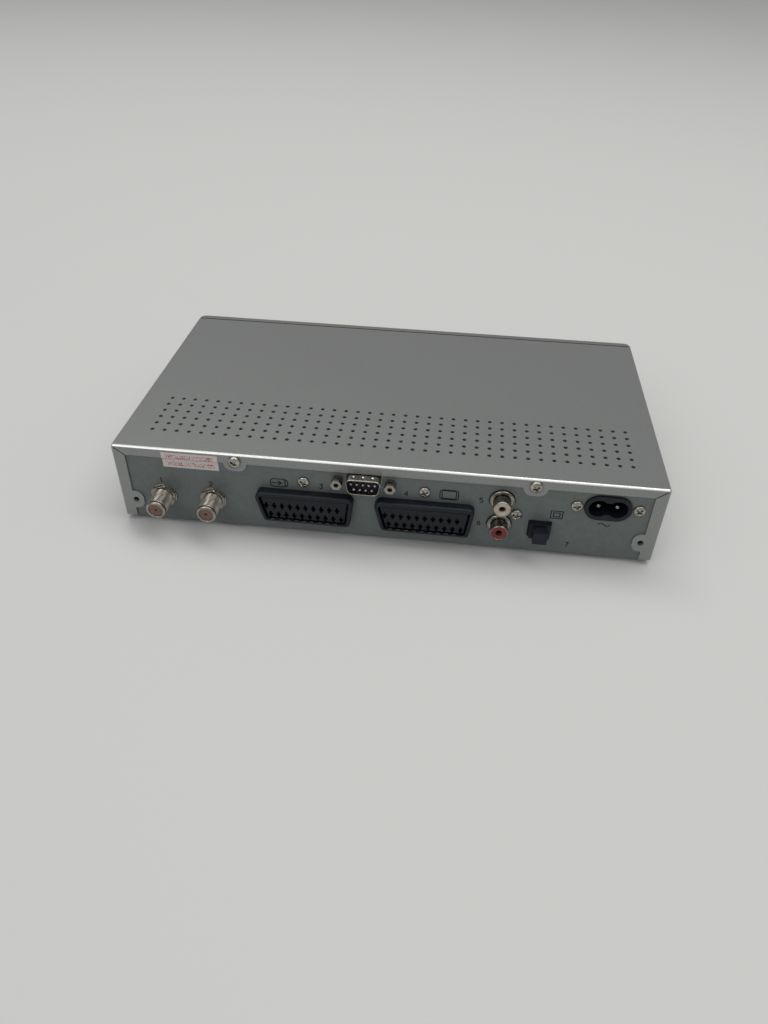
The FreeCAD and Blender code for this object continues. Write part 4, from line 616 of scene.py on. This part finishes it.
def makeScart(name, middle, look):
    base = np.array([
        (look["wide"] - look["corner"], look["top"]), (look["wide"], look["top"] - look["shoulder"]),
        (look["wide"] - look["slant"], -look["bottom"]), (look["lean"] - look["square"], -look["bottom"]),
        (-look["square"], look["top"] - look["corner"]), (look["corner"] - look["square"], look["top"]),
    ]) + (middle, look["up"])
    reach, edge, bevel = look["reach"], look["edge"], look["bevel"]
    rim, floor, front = np.array(look["rim"]), reach - look["grooveDepth"], reach - look["setBack"]
    inner = rim + look["groove"]

    def loop(out, amounts, soft):
        return out, softened(inset(base, amounts), look[soft], closed=True)

    # the outer edge is a quarter of an ellipse: out by the sine, in by one less the cosine
    bend = np.linspace(0, math.pi / 2, look["edgePoints"])
    tuck = edge * look["edgeLean"]
    loops = [loop(rootOut, 0, "outerSoft")]
    loops += [loop(reach - edge + edge * math.sin(turn), tuck * (1 - math.cos(turn)), "outerSoft")
              for turn in bend]
    loops += [loop(reach, rim - bevel, "rimSoft"), loop(reach - bevel, rim, "rimSoft"),
              loop(floor, rim, "rimSoft"), loop(floor, inner, "grooveSoft"),
              loop(front - bevel, inner, "grooveSoft"),
              loop(front, inner + bevel, "faceSoft")]
    quarter = np.array([(look["slotWidth"], look["slotHeight"]), (look["slotWidth"], look["barHeight"]),
                        (look["barWidth"], look["barHeight"])]) / 2
    cross = np.concatenate([quarter, quarter[::-1] * (1, -1), -quarter, quarter[::-1] * (-1, 1)])
    places = (np.arange(look["rowLength"]) - (look["rowLength"] - 1) / 2) * look["pitch"]
    places, row = np.meshgrid(places, (1, -1))    # the two rows are half a pitch apart across
    spots = np.stack([places + row * look["pitch"] / 4, row * look["rowGap"] / 2], -1).reshape(-1, 2)
    spots += (middle, look["up"])
    slots = [cross + spot for spot in spots]
    face = scartFace(loops[-1][1], slots, spots, front, look)
    piece = addPiece(name.split("_")[0] + "Scart", "socketBlack", "black_plastic",
                     *joined([stacked(loops, False)] + face))
    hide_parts(name)


def makeShieldTabs(name, middle, look):    # bright tabs along the groove's lower side
    low = scartLook["up"] - scartLook["bottom"] + scartLook["rim"][2] + look["lift"]
    back, front = (scartLook["reach"] - step for step in look["back"])
    half, high = look["width"] / 2, low + look["thickness"]
    places = middle + (np.arange(look["count"]) - (look["count"] - 1) / 2) * scartLook["pitch"]
    tabs = [boxOf((place - half, back, low), (place + half, front, high)) for place in places]
    addPiece(name.split("_")[0] + "ShieldTabs", "nickel", "nickel", *joined(tabs))


for name, middle in scartLook["middles"].items():
    makeScart(name, middle, scartLook)
    makeShieldTabs(name, middle, tabLook)
print("SCART sockets")


# nine-pin plug: a soft D-shaped shell with three dents pressed into its top and two below

serialLook = {
    "across": 8.8, "up": 32.4, "topWidth": 17, "bottomWidth": 14.4, "height": 8.4,
    "reach": 5.6, "wall": 0.5, "cornerSoft": 3.1, "ringPoints": 260, "rowCount": 34, "root": -0.8,
    "straight": 0.25,    # how far back from the mouth the straight wall ends
    "lip": ((0.1, 0.06), (0, 0.2)), "innerBevel": 0.12,    # lip: back from the mouth, in from outside
    "dents": {1: (-4.4, 0, 4.4), -1: (-2.6, 2.6)}, "dentOut": 3.1, "dentRadius": 0.95, "dentDepth": 0.38,
    "dentBand": 0.9, "flange": (30.8, 12.4, 0.8),
}


def evenRing(outline, count):    # the closed outline again, as points evenly spaced along its length
    closed = np.vstack([outline, outline[:1]])
    length = np.concatenate([[0], np.cumsum(np.linalg.norm(np.diff(closed, axis=0), axis=1))])
    at = np.linspace(0, length[-1], count, endpoint=False)
    return np.stack([np.interp(at, length, closed[:, axis]) for axis in (0, 1)], 1)


def inwardOf(ring):    # unit normals that point into a ring
    tangent = np.roll(ring, -1, 0) - np.roll(ring, 1, 0)
    tangent /= np.linalg.norm(tangent, axis=1)[:, None]
    inward = np.stack([-tangent[:, 1], tangent[:, 0]], 1)
    return inward * np.sign(((ring.mean(0) - ring) * inward).sum(1))[:, None]


def makeSerialShell(look):
    across, up, half = look["across"], look["up"], look["height"] / 2
    corners = [(across - look["bottomWidth"] / 2, up - half), (across + look["bottomWidth"] / 2, up - half),
               (across + look["topWidth"] / 2, up + half), (across - look["topWidth"] / 2, up + half)]
    ring = evenRing(softened(corners, look["cornerSoft"], steps=10, closed=True), look["ringPoints"])
    inward = inwardOf(ring)

    def rows(outs, depth):
        # the ring moved inwards by depth, and at each dent by a bowl as well: the dent's depth times
        # one less the square of the distance from its middle over its radius
        out = np.asarray(outs, float)[:, None]
        sunk = np.full((len(out), len(ring)), depth, float)
        for side, spots in look["dents"].items():
            onSide = (ring[:, 1] - up) * side > half * look["dentBand"]
            for spot in spots:
                away = np.hypot(ring[:, 0] - across - spot, out - look["dentOut"]) / look["dentRadius"]
                sunk += look["dentDepth"] * np.clip(1 - away ** 2, 0, 1) * onSide
        moved = ring + inward * sunk[..., None]
        return np.stack([moved[..., 0], out + 0 * sunk, moved[..., 1]], -1)

    reach, wall, bevel = look["reach"], look["wall"], look["innerBevel"]
    outs = np.linspace(look["root"], reach - look["straight"], look["rowCount"])
    lip = [rows([reach - back], depth) for back, depth in look["lip"]]
    skin = np.concatenate([rows(outs, 0), *lip, rows([reach], wall - bevel), rows([reach - bevel], wall),
                           rows(outs[::-1], wall)])
    wide, tall, thick = look["flange"]
    plate = boxOf((across - wide / 2, look["root"] - thick, up - tall / 2),
                  (across + wide / 2, look["root"], up + tall / 2))
    wallPart = (skin, gridFaces(len(skin), len(ring)))
    piece = addPiece("serialShell", "nickel", "nickel", *joined([wallPart, plate]))
    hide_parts("serial_shell")


makeSerialShell(serialLook)
print("serial plug")


# pan-head screws: a domed head with a cross sunk into it

screwLook = {
    "cover": {"node": "cover_screws", "spots": [(69.7, 38.1), (-69.7, 38.1)], "seat": 0.8, "radius": 3,
              "rise": 2, "shank": 1.5},
    "panel": {"node": "panel_screws", "seat": 0, "radius": 2.7, "rise": 1.7, "shank": 1.3,
              "spots": [(37.5, 29.4), (-19.6, 29.4), (-62.8, 20.9), (-117.5, 28.9), (-89.5, 28.9)]},
}
headLook = {
    "sides": 72, "rings": 34, "middle": 0.001, "rimShare": 0.985, "crown": 0.55, "sideShare": 0.42,
    "crossWidth": 0.38, "crossSpan": 1.5, "crossDepth": 1.3,
    # where the cross ends past its size, and how wide its slope is
    "widthFade": (0.14, 0.2), "spanFade": (0.25, 0.5),
    "soft": 0.1, "shankLength": 5, "firstTurn": 0.5, "nextTurn": 0.6,
}


def domedScrew(spot, look, turn):
    radius, rise, seat, shank = (look[key] for key in ("radius", "rise", "seat", "shank"))
    ring = np.linspace(headLook["middle"], radius * headLook["rimShare"], headLook["rings"])[:, None]
    angle = roundAngles(headLook["sides"])
    across, up = ring * np.cos(angle), ring * np.sin(angle)
    # the dome is part of a ball pressed flat: the crown's share of the rise times the root of one
    # less the square of ring over radius, on what is left of the rise
    dome = rise * (1 - headLook["crown"] + headLook["crown"] * np.sqrt(1 - (ring / radius) ** 2))
    # the cross is where a point is near either of two turned axes and not far along it
    along = across * math.cos(turn) + up * math.sin(turn)
    beside = up * math.cos(turn) - across * math.sin(turn)
    narrow, wide = np.minimum(abs(along), abs(beside)), np.maximum(abs(along), abs(beside))
    cross = 1
    for reach, level, (past, fade) in ((narrow, headLook["crossWidth"], headLook["widthFade"]),
                                       (wide, headLook["crossSpan"], headLook["spanFade"])):
        cross = cross * np.clip((level + past - reach) / fade, 0, 1)
    head = np.stack([across + spot[0], seat + dome - headLook["crossDepth"] * cross, up + spot[1]], -1)
    end = seat - headLook["shankLength"]
    side, _ = turned([(seat + rise * headLook["sideShare"], radius), (seat, radius), (seat, shank),
                      (end, shank), (end, 0)], spot, headLook["sides"], headLook["soft"])
    whole = np.concatenate([head, side])
    return whole, gridFaces(len(whole), headLook["sides"])


def makeScrews(kind, look):
    turns = [headLook["firstTurn"] + headLook["nextTurn"] * index for index in range(len(look["spots"]))]
    parts = [domedScrew(spot, look, turn) for spot, turn in zip(look["spots"], turns)]
    piece = addPiece(kind + "Screws", "screwSteel", "nickel", *joined(parts))
    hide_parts(look["node"])


for kind, look in screwLook.items():
    makeScrews(kind, look)
print("screws")


# phono pair: rolled rings with a dark collar, and dark contacts in the inserts

phonoLook = {
    "across": -55.5, "ups": (14.2, 28.2), "radius": 4.15, "wall": 0.45, "reach": 7.2,
    "mouthBevel": (0.3, 0.2), "boreBevel": (0.4, 0.05), "soft": 0.15, "sides": 64,
    "ring": 5.85, "ringWall": 0.55, "ringRise": 1.4, "ringBevel": (0.35, 0.25), "ringFloor": 0.5,
    "collar": 6.1, "collarInner": 5, "collarRise": 0.45,
    "contactOuter": 1.6, "contactInner": 1.15, "contactFace": 6.2, "contactRoot": 0.5, "contactFloor": 1,
    "contactSides": 32, "contactSoft": 0.05,
}


def phonoShell(centre, look):
    radius, inner, reach = look["radius"], look["radius"] - look["wall"], look["reach"]
    ring, rise, floor = look["ring"], look["ringRise"], look["ringFloor"]
    hollow = ring - look["ringWall"]
    (ringBack, ringIn), (mouthBack, mouthIn), (boreBack, boreIn) = (
        look[name] for name in ("ringBevel", "mouthBevel", "boreBevel"))
    profile = [(rootOut, inner), (0, ring), (rise - ringBack, ring), (rise, ring - ringIn), (rise, hollow),
               (floor, hollow), (floor, radius), (reach - mouthBack, radius), (reach, radius - mouthIn),
               (reach, inner + boreIn), (reach - boreBack, inner), (rootOut, inner)]
    return turned(profile, centre, look["sides"], look["soft"])


def makePhonos(look):
    centres = [(look["across"], up) for up in look["ups"]]
    shells = [phonoShell(centre, look) for centre in centres]
    piece = addPiece("phonoShells", "nickel", "nickel", *joined(shells))
    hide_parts("phono_shells")
    collar = [(0, look["collarInner"]), (0, look["collar"]), (look["collarRise"], look["collar"]),
              (look["collarRise"], look["collarInner"])]
    collars = [turned(collar, centre, look["sides"]) for centre in centres]
    addPiece("phonoCollars", "socketBlack", "black_plastic", *joined(collars))
    contact = [(look["contactRoot"], look["contactOuter"]), (look["contactFace"], look["contactOuter"]),
               (look["contactFace"], look["contactInner"]), (look["contactFloor"], look["contactInner"]),
               (look["contactFloor"], 0)]
    contacts = [turned(contact, centre, look["contactSides"], look["contactSoft"]) for centre in centres]
    addPiece("phonoContacts", "holeBrown", "contact_brass", *joined(contacts))


makePhonos(phonoLook)
print("phono sockets")


# mains pins with round tips

pinLook = {"across": -103.5, "up": 28.9, "spread": 8.6, "radius": 1.2, "tip": -0.3, "root": -14,
           "tipPoints": 9, "sides": 40, "soft": 0.02}


def makeMainsPins(look):
    radius = look["radius"]
    # the tip is a quarter circle: out by the radius times the sine, and as thick as its cosine
    bend = np.linspace(0, math.pi / 2, look["tipPoints"])
    profile = [(look["root"], 0), (look["root"], radius)]
    profile += [(look["tip"] - radius + radius * math.sin(turn), radius * math.cos(turn)) for turn in bend]
    centres = [(look["across"] + side * look["spread"] / 2, look["up"]) for side in (-1, 1)]
    parts = [turned(profile, centre, look["sides"], look["soft"]) for centre in centres]
    piece = addPiece("mainsPins", "nickel", "nickel", *joined(parts))
    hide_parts("mains_pins")


makeMainsPins(pinLook)
print("mains pins")


# ink on the rear wall: pictograms and plain numerals, drawn as strokes

printLook = {
    "thickness": 0.03, "width": 0.48, "numeralHeight": 2.6, "numeralWidth": 1.5,
    "numerals": {"1": (107.6, 23.2), "2": (83.1, 23.2), "3": (29.3, 27.4), "4": (-11, 27.4),
                 "5": (-46, 27.2), "6": (-46, 13.6), "7": (-88.5, 5)},
    "cassette": (49.4, 27.4), "television": (-31, 28.7), "doubleSquare": (-81.3, 22.4),
    "loudspeaker": (-57.6, 5.4), "wave": (-103.5, 18.9),
    "frames": {    # width, height and rounding of each pictogram's frames
        "cassette": [(8.4, 4.4, 2)],
        "television": [(6.6, 4.4, 0.9), (8.6, 5.4, 1.6)],
        "doubleSquare": [(5.4, 4.2, 0.05), (3, 2.2, 0.05)],
    },
    "strokes": {    # from each pictogram's middle: an arrow into the cassette, sound from the loudspeaker
        "cassette": [[(3.6, 0), (-0.9, 0)], [(0.6, 1.2), (-1.1, 0), (0.6, -1.2)],
                     [(-2.4, 1.4), (-3, 1.4), (-3, -1.4), (-2.4, -1.4)]],
        "loudspeaker": [[(-1, 0.6), (0, 0.6), (1, 1.5), (1, -1.5), (0, -0.6), (-1, -0.6), (-1, 0.6)],
                        [(2, 0.9), (2.4, 0), (2, -0.9)], [(3, 1.4), (3.6, 0), (3, -1.4)]],
    },
    "waveLength": 5.655, "waveHeight": 0.75, "wavePoints": 17,
}
numerals = {    # strokes on a cell one wide and two high, as read from behind the receiver
    "1": [[(0.2, 1.6), (0.6, 2), (0.6, 0)]],
    "2": [[(0, 1.6), (0.2, 1.95), (0.8, 1.95), (1, 1.5), (0.9, 1.1), (0, 0), (1, 0)]],
    "3": [[(0, 2), (1, 2), (0.5, 1.2), (0.9, 1), (1, 0.5), (0.7, 0.05), (0.2, 0.05), (0, 0.4)]],
    "4": [[(0.8, 0), (0.8, 2), (0, 0.7), (1, 0.7)]],
    "5": [[(1, 2), (0.1, 2), (0, 1.2), (0.7, 1.2), (1, 0.8), (0.9, 0.2), (0.6, 0), (0.1, 0.05)]],
    "6": [[(0.9, 2), (0.3, 1.6), (0, 0.8), (0.1, 0.2), (0.5, 0), (0.9, 0.2), (1, 0.7), (0.7, 1.1),
           (0.3, 1.1), (0, 0.8)]],
    "7": [[(0, 2), (1, 2), (0.4, 0)]],
}


def strokePart(line, width, thickness, leastCosine=0.3):
    # a ribbon along a line, as a thin raised solid: at each point it reaches half its width over the
    # cosine between the mean normal and a side's normal, so that corners are mitred, but at most its
    # whole width
    line = np.array(line, float)
    step = np.diff(line, axis=0)
    step /= np.linalg.norm(step, axis=1)[:, None]
    closed = np.allclose(line[0], line[-1])
    before = np.vstack([step[-1:] if closed else step[:1], step])
    after = np.vstack([step, step[:1] if closed else step[-1:]])
    normal = np.stack([-(before + after)[:, 1], (before + after)[:, 0]], 1)
    normal /= np.linalg.norm(normal, axis=1)[:, None]
    side = np.stack([-before[:, 1], before[:, 0]], 1)
    cosine = np.maximum((normal * side).sum(1), leastCosine)
    reach = np.minimum(width / 2 / cosine, width)[:, None]
    left, right = line + normal * reach, line - normal * reach
    points = np.concatenate([standing(left, thickness), standing(right, thickness), standing(right, 0),
                             standing(left, 0)])
    count = len(line)
    row, index = np.meshgrid(np.arange(4), np.arange(count - 1), indexing="ij")
    here, beside = index + count * row, index + count * ((row + 1) % 4)
    return points, np.stack([here, here + 1, beside + 1, beside], -1).reshape(-1, 4).tolist()


def roundBox(centre, width, height, soft):
    corners = np.array([(-1, -1), (1, -1), (1, 1), (-1, 1)]) * (width / 2, height / 2) + centre
    line = softened(corners, soft, closed=True)
    return np.vstack([line, line[:1]])


def makePrints(look):
    # read from behind, a numeral's own across runs against the receiver's
    scale = (-look["numeralWidth"], look["numeralHeight"] / 2)
    lines = [(np.array(stroke) - (0.5, 1)) * scale + place
             for numeral, place in look["numerals"].items() for stroke in numerals[numeral]]
    lines += [roundBox(look[name], *frame) for name, frames in look["frames"].items() for frame in frames]
    lines += [np.array(stroke) + look[name]
              for name, strokes in look["strokes"].items() for stroke in strokes]
    # alternating current: one period of a sine wave below the mains inlet
    phase = np.linspace(0, 2 * math.pi, look["wavePoints"])
    across = (phase / (2 * math.pi) - 0.5) * look["waveLength"]
    lines.append(np.stack([across, -look["waveHeight"] * np.sin(phase)], 1) + look["wave"])
    parts = [strokePart(line, look["width"], look["thickness"]) for line in lines]
    addPiece("panelPrints", "printInk", "black_plastic", *joined(parts))


makePrints(printLook)
print("panel prints")
